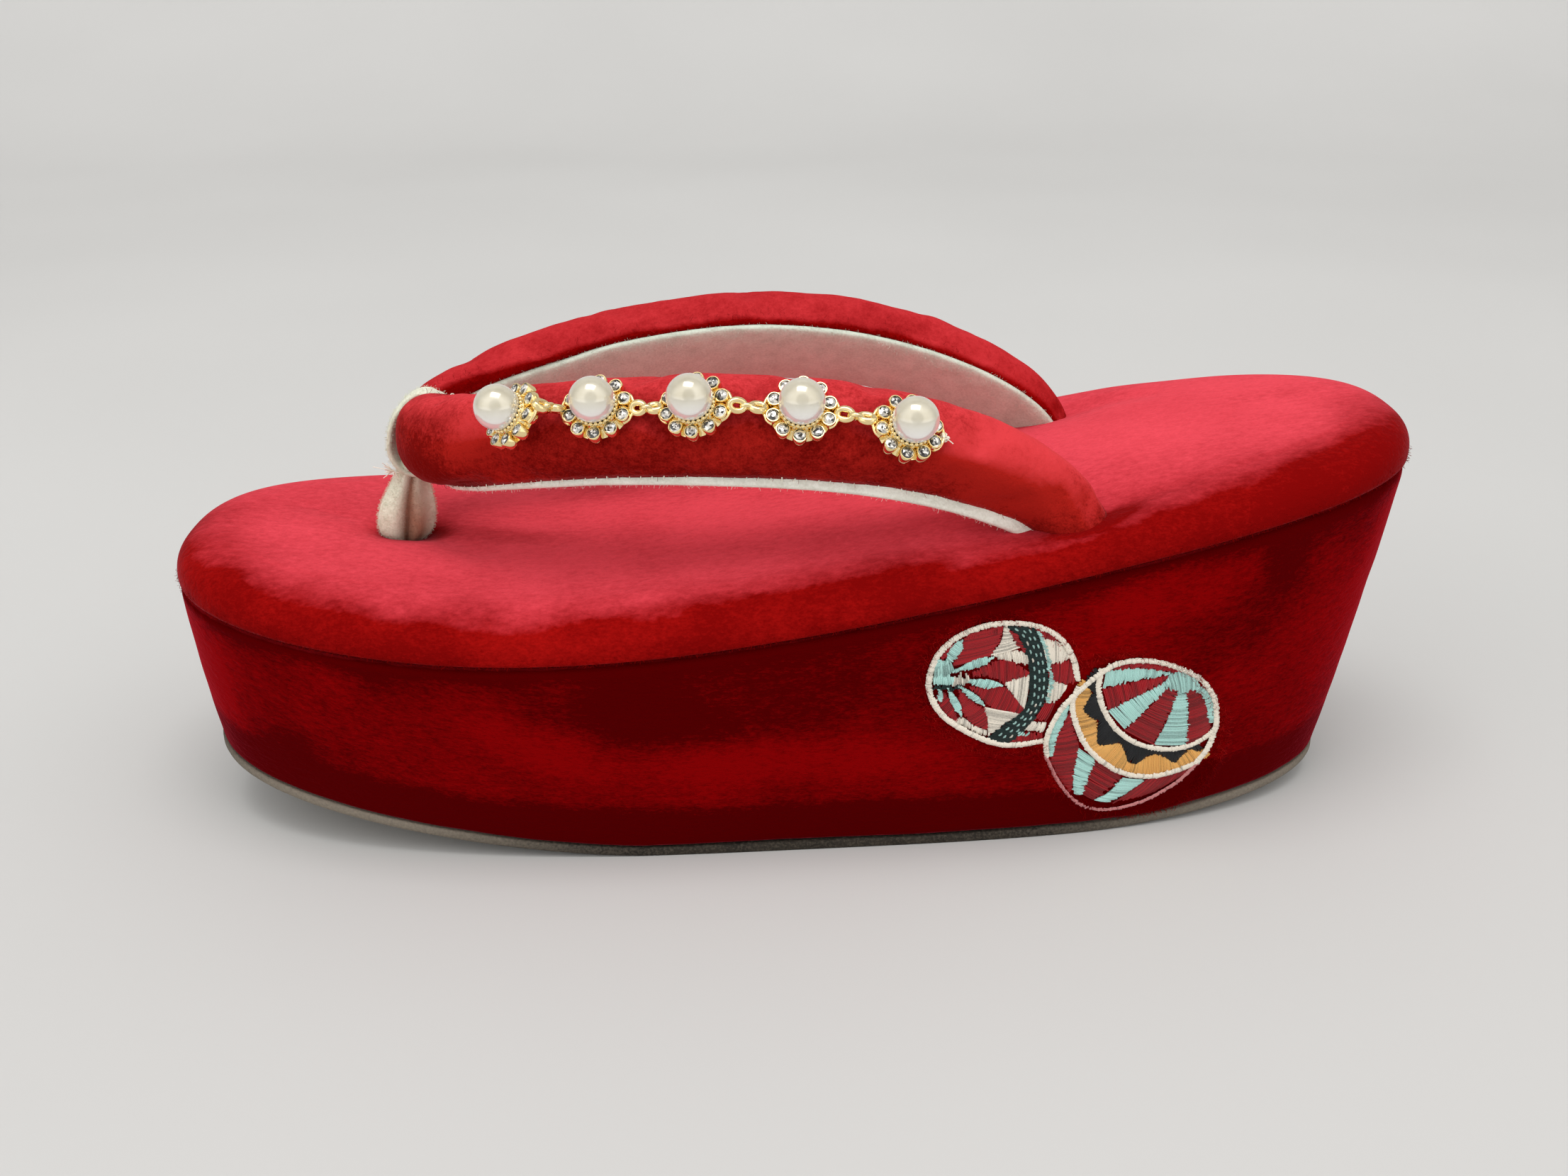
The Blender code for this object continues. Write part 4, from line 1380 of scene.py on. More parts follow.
@dataclass(frozen=True)
class Stuffing:
    """Lets velvet settle over its pad: spare cloth held at its seams, pushed softly from inside.

    The cloth is simulated larger than it is, by scale, where the simulation is steadier.
    """

    scale: float = 10.0
    frames: int = 30
    quality: int = 6
    spare: float = 0.008
    push: float = 1.2
    stiffness: float = 18.0
    bending: float = 14.0
    damping: float = 6.0
    most: float = 1.2

    def settle(self, piece: Piece, held: Array) -> None:
        """Runs the cloth simulation and keeps its result as the piece's own shape.

        Args:
            piece: The velvet, in metres; only the places of its points change.
            held: Which points are sewn down.
        """
        count = len(piece.data.vertices)
        before = np.empty(count * 3)
        piece.data.vertices.foreach_get("co", before)
        piece.data.vertices.foreach_set("co", before * self.scale)
        piece.vertex_groups.new(name="held").add(np.flatnonzero(held).tolist(), 1.0, "REPLACE")
        modifier = piece.modifiers.new("Cloth", "CLOTH")
        cloth = modifier.settings
        cloth.quality = self.quality
        cloth.tension_stiffness = cloth.compression_stiffness = self.stiffness
        cloth.shear_stiffness = self.stiffness / 3
        cloth.bending_stiffness = self.bending
        cloth.air_damping = self.damping
        cloth.shrink_min = -self.spare
        cloth.vertex_group_mass = "held"
        cloth.use_pressure = True
        cloth.uniform_pressure_force = self.push
        cloth.effector_weights.gravity = 0.0
        modifier.collision_settings.use_collision = False
        modifier.point_cache.frame_end = self.frames
        for number in range(1, self.frames + 1):
            bpy.context.scene.frame_set(number)
        settled = piece.evaluated_get(bpy.context.evaluated_depsgraph_get()).to_mesh()
        after = np.empty(count * 3)
        settled.vertices.foreach_get("co", after)
        piece.modifiers.remove(modifier)
        piece.vertex_groups.clear()
        bpy.context.scene.frame_set(1)
        moved = (after / self.scale - before).reshape(-1, 3)
        far = np.linalg.norm(moved, axis=1, keepdims=True)
        moved *= np.minimum(1.0, self.most * MM / np.maximum(far, 1e-9))
        LOG.info("%s settled, at most %.2f mm", piece.name, float(far.max()) / MM)
        piece.data.vertices.foreach_set("co", before + moved.ravel())
        piece.data.update()


@dataclass(frozen=True)
class Band:
    """One padded band: velvet over a domed pad, with a cotton lining on its back."""

    name: str
    side: int
    narrowing: float = 1.0
    setback: float = 0.0
    arch: float = 0.0
    steps: int = 150
    dome_points: int = 34
    back_points: int = 10
    dome_fullness: float = 2.5
    end_rounding: float = 6.0
    end_fullness: float = 0.35
    full_pad: float = 10.4
    lip_front: float = 0.5
    lip_rear: float = 2.1
    lining_thickness: float = 2.5
    lining_sunk: float = 0.75
    whip_pitch: float = 2.1
    upper_stitches: bool = True
    front_drop: float = 0.0
    drop_reach: float = 14.0
    finish: Velvet = BAND_VELVET
    lining_finish: Cotton = LINING
    stuffing: Stuffing = Stuffing()
    pile: Fibres = Fibres(3.0e6, 0.9, 0.03, 0.9)
    nap: Fibres = Fibres(3.0e6, 0.6, 0.025, 1.0)
    sewn_reach: float = 3.2
    end_rows: int = 3
    dents: Rows = (
        (-60.5, 68, 5.5, 3.4, -0.9, 35), (-66, 71, 7, 2.2, 0.5, 32), (-40, 70.5, 9, 3, -0.3, -8),
        (20, 71, 10, 3.5, -0.35, -20),
    )
    # patches of lighter and darker pile; the dark patch on the nose is painted shade
    brushes: Rows = (
        (38, 76, 15, 9, 0.9, -25), (-66, 68, 9, 5, -0.5), (-20, 74, 26, 3, -0.5, -3),
        (-58, 80, 7, 4, 0.5, 50), (-71, 70, 6, 9, -0.7),
    )
    # along, out, height, lean, width, pad
    stations: Rows = (
        (-70.5, -1.4, 74.3, 88, 14.8, 6.6), (-69.2, -0.1, 74.4, 87, 15.8, 7.6),
        (-67.3, 4.1, 74.7, 84, 16.4, 8.6), (-62.4, 9.8, 75.4, 68, 17.2, 9.5),
        (-48.4, 17.6, 78.2, 49.5, 17.7, 10.4), (-33.4, 22, 80.5, 48.5, 18.1, 10.4),
        (-12, 26.4, 81.7, 47, 18.4, 10.4), (6.8, 27.9, 80.6, 46, 17.8, 10.4),
        (22, 28.2, 77.7, 46.5, 16.6, 10.2), (35.2, 28, 73.2, 49, 15, 9.8),
        (44.7, 27.9, 67.9, 52, 13.1, 9.2), (50.1, 28, 61.6, 55, 12, 8.6),
    )

    def sections(self) -> Sections:
        """Reads the stations at even steps, with the frame of each."""
        rows = smooth_rows(np.array(self.stations), self.steps)
        share = np.linspace(0.0, 1.0, self.steps + 1)
        back = np.column_stack([rows[:, 0], self.side * rows[:, 1], rows[:, 2]])
        back[:, 0] += self.setback * share
        back[:, 1] *= self.narrowing
        back[:, 2] += self.arch * np.sin(np.pi * share)
        run = unit(np.gradient(back, axis=0))
        outer = unit(np.cross(run, (0.0, 0.0, 1.0)))
        outer *= np.where(outer[:, 1:2] * self.side < 0, -1.0, 1.0)
        top = unit(np.cross(outer, run))
        top *= np.where(top[:, 2:3] < 0, -1.0, 1.0)
        lean = np.radians(rows[:, 3])[:, None]
        face = np.cos(lean) * top + np.sin(lean) * outer
        up = np.sin(lean) * top - np.cos(lean) * outer
        return Sections(rows, back, run, up, face)

    def shrink(self, sections: Sections) -> Array:
        """How much of its full size each section has, rounding off the front end."""
        missing = np.clip(1 - (travelled(sections.back) + 0.1) / self.end_rounding, 0, 1)
        return np.sqrt(1 - missing**2)

    def pad(self) -> tuple[Sections, Array, Array]:
        """The frames along the band, how full each is, and the line that the cloth stands on."""
        s = self.sections()
        shrink = self.shrink(s)
        return s, shrink, s.back + s.face * (s.rows[:, 5] * self.end_fullness * (1 - shrink))[:, None]

    def velvet(self) -> Piece:
        """Makes the domed velvet side, closed behind by a flat back."""
        s, shrink, middle = self.pad()
        half = s.rows[:, 4] / 2 * shrink
        pad = s.rows[:, 5] * (self.end_fullness + (1 - self.end_fullness) * shrink)
        across, height = squared(np.linspace(0.0, np.pi, self.dome_points), self.dome_fullness)
        back = np.linspace(-1.0, 1.0, self.back_points)[1:-1]
        across, height = np.append(across, back), np.append(height, 0 * back)
        rings = swept(middle, s.up, s.face, half[:, None] * across, pad[:, None] * height)
        swell = 0.30 * lumps(rings, 9.0, 2.0 + self.side) + 0.12 * lumps(rings, 3.5, 6.0)
        swell = (swell + brushed(self.dents, rings[..., 0], rings[..., 2])) * (height > 0.05)
        rings = rings + unit(rings - middle[:, None]) * (swell * shrink[:, None])[..., None]
        piece = tube(self.name + "_velvet", rings, self.finish)
        mark(piece, "fuzz", np.exp(-((height * pad[:, None] / 1.4) ** 2)) * (height > 0.02))
        mark(piece, "nap", brushed(self.brushes, rings[..., 0], rings[..., 2]))
        return piece

    def held(self, piece: Piece, sewn: Array) -> Array:
        """Finds which points of the velvet are sewn down.

        Args:
            piece: The velvet.
            sewn: The bases of the rosettes.

        Returns:
            Whether each point lies on the back, a seam, an end or under a rosette.
        """
        places = np.array([vertex.co for vertex in piece.data.vertices]) / MM
        ring = self.dome_points + self.back_points - 2
        rows = self.steps + 1
        held = np.zeros((rows, ring), bool)
        held[:, 0] = True
        held[:, self.dome_points - 1 :] = True
        held[: self.end_rows] = True
        held[-self.end_rows :] = True
        held = np.append(held.ravel(), [True, True])
        for place in sewn:
            held |= np.linalg.norm(places - place, axis=1) < self.sewn_reach
        return held

    def lining_top(self, half: Array) -> Array:
        """How far up the back the lining reaches at each section."""
        return half - 0.35 - self.front_drop * np.exp(-np.arange(self.steps + 1) / self.drop_reach)

    def lip(self) -> Array:
        """How far the lining stands out below the velvet at each section."""
        share = np.linspace(0.0, 1.0, self.steps + 1)
        return self.lip_front + (self.lip_rear - self.lip_front) * share

    def lining(self) -> Piece:
        """Makes the cotton back, a thin soft pad with a rolled lower edge."""
        s, shrink, middle = self.pad()
        half = s.rows[:, 4] / 2 * shrink
        low, high = -(half + self.lip() * shrink), self.lining_top(half)
        wide, deep = squared(circle(40), 3.0)
        across = (high + low)[:, None] / 2 + (high - low)[:, None] / 2 * wide
        depth = self.lining_thickness / 2 * deep * shrink[:, None]
        depth -= self.lining_sunk * (s.rows[:, 5] / self.full_pad * shrink)[:, None]
        rings = swept(middle, s.up, s.face, across, depth)
        bumps = 0.12 * lumps(rings, 5.0, 4.0) + 0.10 * lumps(rings, 1.8, 14.0)
        rings = rings + (s.face[:, None] - 0.6 * s.up[:, None]) * bumps[..., None]
        piece = tube(self.name + "_lining", rings, self.lining_finish)
        mark(piece, "fuzz", np.broadcast_to(np.clip(np.abs(wide) * 1.6 - 0.9, 0, 1), rings.shape[:2]))
        return piece

    def seams(self) -> tuple[list[Array], list[Array]]:
        """The two lines where velvet meets lining, and the direction out at each point."""
        s = self.sections()
        half = s.rows[:, 4] / 2 * self.shrink(s)
        keep = slice(6, -6)
        lines, outs = [], []
        for edge, place, drop in ((-1.0, -half - 0.1, 0.15), (1.0, self.lining_top(half) + 0.4, -0.1)):
            lines.append((s.back + s.up * place[:, None] + s.face * drop)[keep])
            outs.append(unit(s.up * edge + s.face * 0.25)[keep])
        count = 2 if self.upper_stitches else 1
        return lines[:count], outs[:count]

    def build(self, sewn: Array = np.empty((0, 3))) -> None:
        """Makes the band's velvet, lining, edge stitches and pile.

        Args:
            sewn: The bases of the rosettes that hold the velvet down.
        """
        velvet = self.velvet()
        self.stuffing.settle(velvet, self.held(velvet, sewn))
        show(velvet, Slot.VELVET, "strap", fill=0.85)
        lining = self.lining()
        show(lining, Slot.COTTON, fill=0.5)
        lines, outs = self.seams()
        stitch = whip_stitch()
        stitches = TREES.whip.run(
            edges_object("seam_tool", lines, outs), self.name + "_whip_stitches", Thread.CREAM.value,
            Pitch=self.whip_pitch * MM, Seed=4 + self.side, Stitch=stitch,
        )
        bpy.data.objects.remove(stitch, do_unlink=True)
        show(stitches, Slot.COTTON)
        self.pile.grow(velvet, self.name + "_pile", self.finish, Slot.VELVET, 21 + self.side)
        self.nap.grow(lining, self.name + "_lining_nap", self.lining_finish, Slot.COTTON, 31 + self.side)


def level_ring(radius: float, angle: Array, height: float) -> Array:
    """Returns a level ring of points round the Z axis."""
    return np.column_stack([radius * np.cos(angle), radius * np.sin(angle), np.full(len(angle), height)])


def ball_profile(radius: float, height: float, gap: float, count: int) -> list[Point]:
    """Returns the profile of a ball, its middle at a height, open by a small angle at its poles."""
    turns = np.linspace(gap, math.pi - gap, count)
    return [(radius * math.sin(turn), height - radius * math.cos(turn)) for turn in turns]


def spun(name: str, lines: Lines, radius: float, steps: int = 9) -> Piece:
    """Makes cream threads along some lines."""
    source = edges_object("thread_tool", lines, [np.zeros_like(line) for line in lines], [0.9] * len(lines))
    sizes = {"Radius": radius * MM, "Arch": 0.0, "Steps": steps, "Sides": 5}
    return TREES.thread.run(source, name, Thread.CREAM.value, **sizes)


def whip_stitch() -> Piece:
    """Makes one whip stitch as a tool: a short thread bent over the seam, along Y."""
    line = np.array([(0.08 * k, 0.19 * k, 0.14 - 0.06 * k * k) for k in (-2, -1, 0, 1, 2)])
    return spun("stitch_tool", [line], 0.10, 6)


def knot(centre: Array, size: float, turns: int, seed: int) -> list[Array]:
    """Returns some small arcs of thread wound about a place.

    Args:
        centre: The place.
        size: The largest arc's radius.
        turns: How many arcs.
        seed: The start of its random numbers.

    Returns:
        The arcs.
    """
    chance = np.random.default_rng(seed)
    lines = []
    for _ in range(turns):
        start = unit(chance.normal(size=3))
        other = unit(np.cross(start, chance.normal(size=3)))
        turn = np.linspace(0.0, chance.uniform(2.5, 5.0), 12)[:, None]
        lines.append(centre + size * chance.uniform(0.4, 1.0) * (np.cos(turn) * start + np.sin(turn) * other))
    return lines


def fray(root: Array, way: Array, length: float, count: int, seed: int) -> list[Array]:
    """Returns some loose fibres that leave a place one way and spread.

    Args:
        root: The place.
        way: The way they leave.
        length: The longest fibre's length.
        count: How many fibres.
        seed: The start of its random numbers.

    Returns:
        The fibres.
    """
    chance = np.random.default_rng(seed)
    share = np.linspace(0.0, 1.0, 6)[:, None]
    lines = []
    for _ in range(count):
        heading = unit(way) + chance.normal(0.0, 0.35, 3)
        bend = chance.normal(0.0, 0.35, 3)
        lines.append(root + length * chance.uniform(0.5, 1.0) * (heading * share + bend * share**2))
    return lines


@dataclass(frozen=True)
class ToePost:
    """The cream cloth post, folded down its front, and the loop that ties the V."""

    around: int = 72
    steps: int = 70
    crease_depth: float = 3.1
    crease_angle: float = -80.0
    loop_thickness: float = 1.3
    loop_extra_width: float = 0.8
    nap: Fibres = Fibres(9.0e6, 0.55, 0.022, 1.0)
    frayed_end: Spot = (-77.4, -2.4, 67.2)
    # along, 0, height, length, width
    rows: Rows = (
        (-77, 0, 50, 3, 3), (-77, 0, 51.2, 4.6, 4.4), (-77, 0, 52.6, 7.4, 7), (-76.8, 0, 54.4, 10.4, 9.5),
        (-76.4, 0, 57.2, 11.1, 10.2), (-76, 0, 59.8, 10.4, 9.6), (-75.5, 0, 62.3, 8.8, 8),
        (-74.8, 0, 65.2, 6.8, 6), (-73.9, 0, 68.6, 5, 4.6),
    )
    # along, 0, height, width
    loop: Rows = (
        (-72.4, 0, 66.2, 4), (-75.7, 0, 67, 4.4), (-77.5, 0, 69.2, 4.4), (-77.9, 0, 72.9, 4.4),
        (-76.7, 0, 77, 4.4), (-73.8, 0, 80.8, 4.2), (-71.4, 0, 82.3, 4), (-69, 0, 82.1, 3.4),
        (-66.7, 0, 80.4, 2.8), (-66, 0, 77, 2.4), (-66.7, 0, 73.5, 2.4), (-67.8, 0, 70.2, 2.8),
        (-69.6, 0, 67.4, 3.4),
    )

    def body(self) -> Piece:
        """Makes the drop-shaped post with its deep fold and the lobes at its foot."""
        rows = smooth_rows(np.array(self.rows), self.steps)
        angle = circle(self.around)
        share = np.linspace(0.0, 1.0, self.steps + 1)[:, None]

        def near(turn: float, width: float) -> Array:
            """How near each point of the ring is to a direction."""
            gap = (angle[None] - math.radians(turn) + np.pi) % (2 * np.pi) - np.pi
            return np.exp(-((gap / width) ** 2))

        fold = self.crease_depth * near(self.crease_angle, 0.30) * (1 - 0.45 * share)
        rear = 1.4 * near(95.0, 0.3)
        lobe = 1.1 * near(-42.0, 0.16) * np.clip(1 - share / 0.45, 0, 1)
        cheek = 0.5 * near(-62.0, 0.22) * np.clip(1 - share / 0.5, 0, 1)
        pull = (fold + rear + lobe - cheek) * rows[:, 3:4] / rows[:, 3].max()
        rings = np.stack([
            rows[:, 0:1] + (rows[:, 3:4] / 2 - pull) * np.cos(angle),
            (rows[:, 4:5] / 2 - pull) * np.sin(angle),
            np.broadcast_to(rows[:, 2:3], (len(rows), self.around)),
        ], axis=2)
        out = unit(rings - rings.mean(axis=1, keepdims=True))
        rings = rings + out * (0.12 * lumps(rings, 3.0, 8.0))[..., None]
        piece = tube("toe_post_cloth", rings, POST_COTTON)
        # painted shade, reddened as by light off the velvet, on the side towards the heel and in the fold
        painted_shade = 1.1 * near(-54.0, 0.6) * np.clip(1.25 - share, 0, 1) + 0.7 * near(self.crease_angle, 0.22)
        mark(piece, "fuzz", np.ones(rings.shape[:2]))
        mark(piece, "nap", -painted_shade)
        return piece

    def strip(self) -> Piece:
        """Makes the loop: a flat strip with soft edges round the front of the V."""
        rows = smooth_rows(np.array(self.loop), 120, closed=True)
        line = rows[:, :3]
        run = unit(np.roll(line, -1, axis=0) - np.roll(line, 1, axis=0))
        side = np.array([0.0, 1.0, 0.0])
        out = np.cross(run, side)
        wide, deep = squared(circle(24), 2.8)
        width = (rows[:, 3] + self.loop_extra_width) / 2
        rings = swept(line, side, out, width[:, None] * wide, self.loop_thickness / 2 * deep)
        rings = rings + out[:, None] * (0.15 * lumps(rings, 3.0, 12.0))[..., None]
        piece = tube("toe_loop", rings, POST_COTTON, closed=True)
        mark(piece, "fuzz", np.broadcast_to(np.clip(np.abs(wide), 0.2, 1), rings.shape[:2]))
        return piece

    def build(self) -> None:
        """Makes the post, the loop and their nap."""
        post = self.body()
        show(post, Slot.COTTON, "toe_post", fill=0.8)
        loop = self.strip()
        show(loop, Slot.COTTON, "toe_post")
        root = np.array(self.frayed_end)
        lines = fray(root, np.array((-1.0, -0.3, 0.25)), 1.7, 26, 61)
        lines += fray(root, np.array((0.3, -0.6, -1.0)), 1.2, 8, 62)
        show(spun("loop_frayed_end", lines, 0.08), Slot.COTTON)
        for piece in (post, loop):
            self.nap.grow(piece, piece.name + "_nap", POST_COTTON, Slot.COTTON, 41)


@dataclass(frozen=True)
class Chain:
    """Five pearl rosettes and the links between them, laid where the solids are."""

    count: int = 5
    pearl_radius: float = 4.0
    pearl_height: float = 4.75
    cup_count: int = 10
    ring_radius: float = 5.0
    cup_radius: float = 1.28
    cup_height: float = 2.0
    stone_radius: float = 1.06
    bead_count: int = 26
    bead_radius: float = 0.4
    edge_height: float = 2.4
    link_wire: float = 0.66
    link_half_width: float = 0.92
    link_standoff: float = 1.5
    link_share: float = 0.33
    link_overlap: float = 0.42
    joining_wire: float = 0.40
    hoop_wire: float = 0.30
    # painted reflections: the brightnesses that the stones' facets are picked from
    facet_reflection_tones: tuple[float, ...] = (0.0, 0.05, 0.30, 0.60, 0.9, 1.0)

    def lathe(self, name: str, profile: Profile, sides: int, finish: Surface = GoldPlate()) -> Piece:
        """Turns a profile of radius and height into a closed piece."""
        angle = circle(sides)
        return tube(name, np.array([level_ring(radius, angle, height) for radius, height in profile]), finish)

    def cup(self) -> Piece:
        """Makes one bezel cup, a tool for the ring."""
        r, h = self.cup_radius, self.cup_height
        bore = self.stone_radius
        profile = (
            (0.9, 0.0), (r - 0.12, 0.0), (r, 0.18), (r, h - 0.1), (r - 0.08, h),
            (bore + 0.03, h), (bore, h - 0.08), (bore, h - 0.7), (0.3, h - 0.7),
        )
        return self.lathe("cup_tool", profile, 28)

    def stone(self) -> Piece:
        """Makes one round cut stone, its facets each with a painted reflection of their own."""
        # share of the radius, height, turn as a share of a facet
        rows = ((0.98, -0.35, 0.0), (1.0, 0.0, 0.0), (0.80, 0.22, 0.5), (0.46, 0.38, 0.0))
        rings = []
        for share, height, turn in rows:
            angle = 2 * np.pi * (np.arange(8) + turn) / 8
            rings.append(level_ring(self.stone_radius * share, angle, height))
        piece = tube("stone_tool", np.array(rings), Crystal())
        piece.data.shade_flat()
        return piece

    def bead(self) -> Piece:
        """Makes one bead of the milled edge, a tool for the ring."""
        return self.lathe("bead_tool", ball_profile(self.bead_radius, 0.0, 0.05, 7), 8)

    def frame_of(self, k: int, bands: Sections) -> Matrix:
        """Where rosette k stands: its base, its chain direction and the way it faces.

        Args:
            k: The rosette's number, from 1.
            bands: The frames along the outer band.

        Returns:
            The matrix from the rosette's own millimetres to the shoe's.
        """
        low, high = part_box(f"pearl_{k}")
        pearl = np.array((low + high) / 2) / MM
        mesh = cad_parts[f"rosette_{k}"].data
        cloud = np.array([v.co for v in mesh.vertices]) / MM
        rim = cloud - pearl
        axis = -unit(np.linalg.svd(rim - rim.mean(axis=0))[2][2])
        if axis @ (pearl - cloud.mean(axis=0)) < 0:
            axis = -axis
        base = pearl - axis * self.pearl_height
        near = int(np.argmin(np.linalg.norm(bands.back - base, axis=1)))
        run = bands.run[near]
        chain = unit(run - axis * (run @ axis))
        side = np.cross(axis, chain)
        rows = np.column_stack([chain, side, axis, base])
        return Matrix([*rows.tolist(), [0.0, 0.0, 0.0, 1.0]])

    def set_in(self, piece: Piece, place: Matrix) -> None:
        """Moves a piece made in a rosette's own frame to its place on the band."""
        scaled = Matrix.Translation(place.to_translation() * MM) @ place.to_3x3().to_4x4()
        piece.data.transform(scaled)

    def seat(self) -> Piece:
        """Makes the plate under the cups with the dished seat that holds the pearl."""
        inner = self.ring_radius - self.cup_radius + 0.25
        profile = (
            (2.0, 0.05), (self.ring_radius + 0.3, 0.05), (self.ring_radius + 0.5, 0.3), (inner, 0.75),
            (inner - 0.1, 2.2), (inner - 0.35, 2.45), (inner - 0.6, 2.3), (inner - 1.1, 1.5), (1.6, 0.9),
        )
        return self.lathe("seat", profile, 56)

    def hoop(self, side: float) -> Piece:
        """Makes the flat hoop that leaves the rosette between two cups for the link.

        Args:
            side: 1 for the hoop towards the heel, -1 for the other.

        Returns:
            The hoop.
        """
        tip = self.ring_radius + self.link_standoff
        arc = [(tip - 1.6, 2.9), (tip - 0.75, 2.3), (tip - 0.2, 1.2), (tip, 0.0)]
        arc += [(x, -y) for x, y in arc[-2::-1]]
        rows = smooth_rows(np.array([(side * x, 0.0, y) for x, y in arc]), 28)
        line = np.column_stack([rows[:, 0], rows[:, 2], np.ones(len(rows))])
        up = np.array([0.0, 0.0, 1.0])
        flat = np.cross(unit(np.gradient(line, axis=0)), up)
        angle = circle(12)
        across, deep = self.hoop_wire * np.cos(angle), 1.3 * self.hoop_wire * np.sin(angle)
        return tube("hoop", swept(line, flat, up, across, deep), GoldPlate())

    def link_ring(self, centre: Array, run: Array, flat: Array, size: Point, wire: float) -> Piece:
        """Makes one oval link.

        Args:
            centre: Its middle.
            run: The way of its length.
            flat: The way of its width.
            size: Half its length and half its width, to the wire's middle.
            wire: The wire's radius.

        Returns:
            The link.
        """
        turn, angle = circle(28)[:, None], circle(14)
        line = centre + run * size[0] * np.cos(turn) + flat * size[1] * np.sin(turn)
        across, deep = wire * np.cos(angle), 1.15 * wire * np.sin(angle)
        rings = swept(line, unit(line - centre), np.cross(run, flat), across, deep)
        return tube("ring", rings, GoldPlate(), closed=True)

    def build(self, bands: Sections) -> None:
        """Makes the rosettes, pearls and links."""
        places = [self.frame_of(k, bands) for k in range(1, self.count + 1)]
        for k, place in enumerate(places, start=1):
            self.rosette(k, place)
        for k, (before, after) in enumerate(zip(places, places[1:]), start=1):
            self.link(k, before, after)
        self.ties(places)

    def ring_of(self, name: str, part: Piece, finish: Surface, place: Point, count: int) -> Piece:
        """Sets copies of a part round the rosette, at a radius and a height."""
        source = placed(name, bpy.data.meshes.new(name))
        sizes = {"Radius": place[0] * MM, "Count": count, "Height": place[1] * MM}
        ring = TREES.ring.run(source, name, finish, Part=part, **sizes)
        bpy.data.objects.remove(part, do_unlink=True)
        return ring

    def rosette(self, k: int, place: Matrix) -> None:
        """Makes one rosette: seat, cups, stones, milled edge, hoops and pearl.

        Args:
            k: Its number, from 1.
            place: Where it stands on the band.
        """
        half_turn = Matrix.Rotation(math.pi / self.cup_count, 4, "Z")
        ring, count = self.ring_radius, self.cup_count
        cups = self.ring_of("cups", self.cup(), GoldPlate(), (ring, 0.0), count)
        cups.data.transform(half_turn)
        edge = ring - self.cup_radius - 0.1, self.edge_height
        beads = self.ring_of("beads", self.bead(), GoldPlate(), edge, self.bead_count)
        gold = [cups, beads, self.seat(), self.hoop(1.0), self.hoop(-1.0)]
        mount = join(f"rosette_{k}_mount", gold)
        self.set_in(mount, place)
        show(mount, Slot.GOLD, f"rosette_{k}")
        stones = self.ring_of("stones", self.stone(), Crystal(), (ring, self.cup_height - 0.12), count)
        stones.name = f"rosette_{k}_stones"
        stones.data.transform(half_turn)
        stones.data.shade_flat()
        self.paint_facet_reflections(stones, k)
        self.set_in(stones, place)
        show(stones, Slot.GOLD)
        profile = ball_profile(self.pearl_radius, self.pearl_height, 0.02, 40)
        pearl = self.lathe(f"pearl_{k}_bead", profile, 64, PearlLustre())
        self.set_in(pearl, place)
        show(pearl, Slot.PEARL, f"pearl_{k}")

    def ties(self, places: Sequence[Matrix]) -> None:
        """Makes the threads that sew the chain down, round the second link and past the last rosette."""
        reach = self.ring_radius + self.link_standoff
        link = (places[1] @ Vector((reach, 0.0, 0.8)) + places[2] @ Vector((-reach, 0.0, 0.8))) / 2
        end = places[-1] @ Vector((reach + 0.2, 0.3, 0.8))
        lines = knot(np.array(link), 0.75, 9, 51) + knot(np.array(end), 0.95, 14, 52)
        lines += fray(np.array(end), np.array((0.6, 0.0, -0.2)), 0.7, 9, 53)
        show(spun("chain_ties", lines, 0.10), Slot.COTTON)

    def paint_facet_reflections(self, stones: Piece, seed: int) -> None:
        """Gives each facet a painted reflection, a brightness picked at random."""
        attribute = stones.data.attributes.new("facet", "FLOAT", "FACE")
        chance = np.random.default_rng(100 + seed)
        values = chance.choice(self.facet_reflection_tones, len(stones.data.polygons))
        attribute.data.foreach_set("value", values.astype(np.float32))

    def link(self, k: int, before: Matrix, after: Matrix) -> None:
        """Makes the two fat rings between rosettes and the small one that joins them.

        Args:
            k: The link's number, from 1.
            before: Where the rosette before it stands.
            after: Where the one after it stands.
        """
        reach = self.ring_radius + self.link_standoff
        start = np.array(before @ Vector((reach, 0.0, self.cup_height / 2)))
        end = np.array(after @ Vector((-reach, 0.0, self.cup_height / 2)))
        run = unit(end - start)
        length = float(np.linalg.norm(end - start))
        facing = np.array(before.col[2][:3]) + np.array(after.col[2][:3])
        facing = unit(facing - run * (facing @ run))
        side = np.cross(facing, run)
        first, second = unit(side + facing * 0.35), unit(side - facing * 0.55)
        spacing = length * self.link_share
        middle = (start + end) / 2
        size = spacing / 2 + self.link_overlap, self.link_half_width
        rings = [
            self.link_ring(middle - run * spacing, run, first, size, self.link_wire),
            self.link_ring(middle + run * spacing, run, second, size, self.link_wire),
            self.link_ring(middle, run, facing, (spacing * 0.62, 0.62), self.joining_wire),
        ]
        piece = join(f"link_{k}_rings", rings)
        show(piece, Slot.GOLD, f"link_{k}")


def join(name: str, pieces: Sequence[Piece]) -> Piece:
    """Joins some pieces of one finish into a single mesh.

    Args:
        name: The new piece's name.
        pieces: The pieces, which are removed.

    Returns:
        The new piece.
    """
    whole = bmesh.new()
    for piece in pieces:
        whole.from_mesh(piece.data)
    mesh = bpy.data.meshes.new(name)
    whole.to_mesh(mesh)
    whole.free()
    mesh.materials.append(pieces[0].data.materials[0])
    mesh.shade_smooth()
    mesh.set_sharp_from_angle(angle=math.radians(50.0))
    for piece in pieces:
        bpy.data.objects.remove(piece, do_unlink=True)
    return placed(name, mesh)


Rail = tuple[float, ...] | Array
Chart = tuple[tuple, ...]


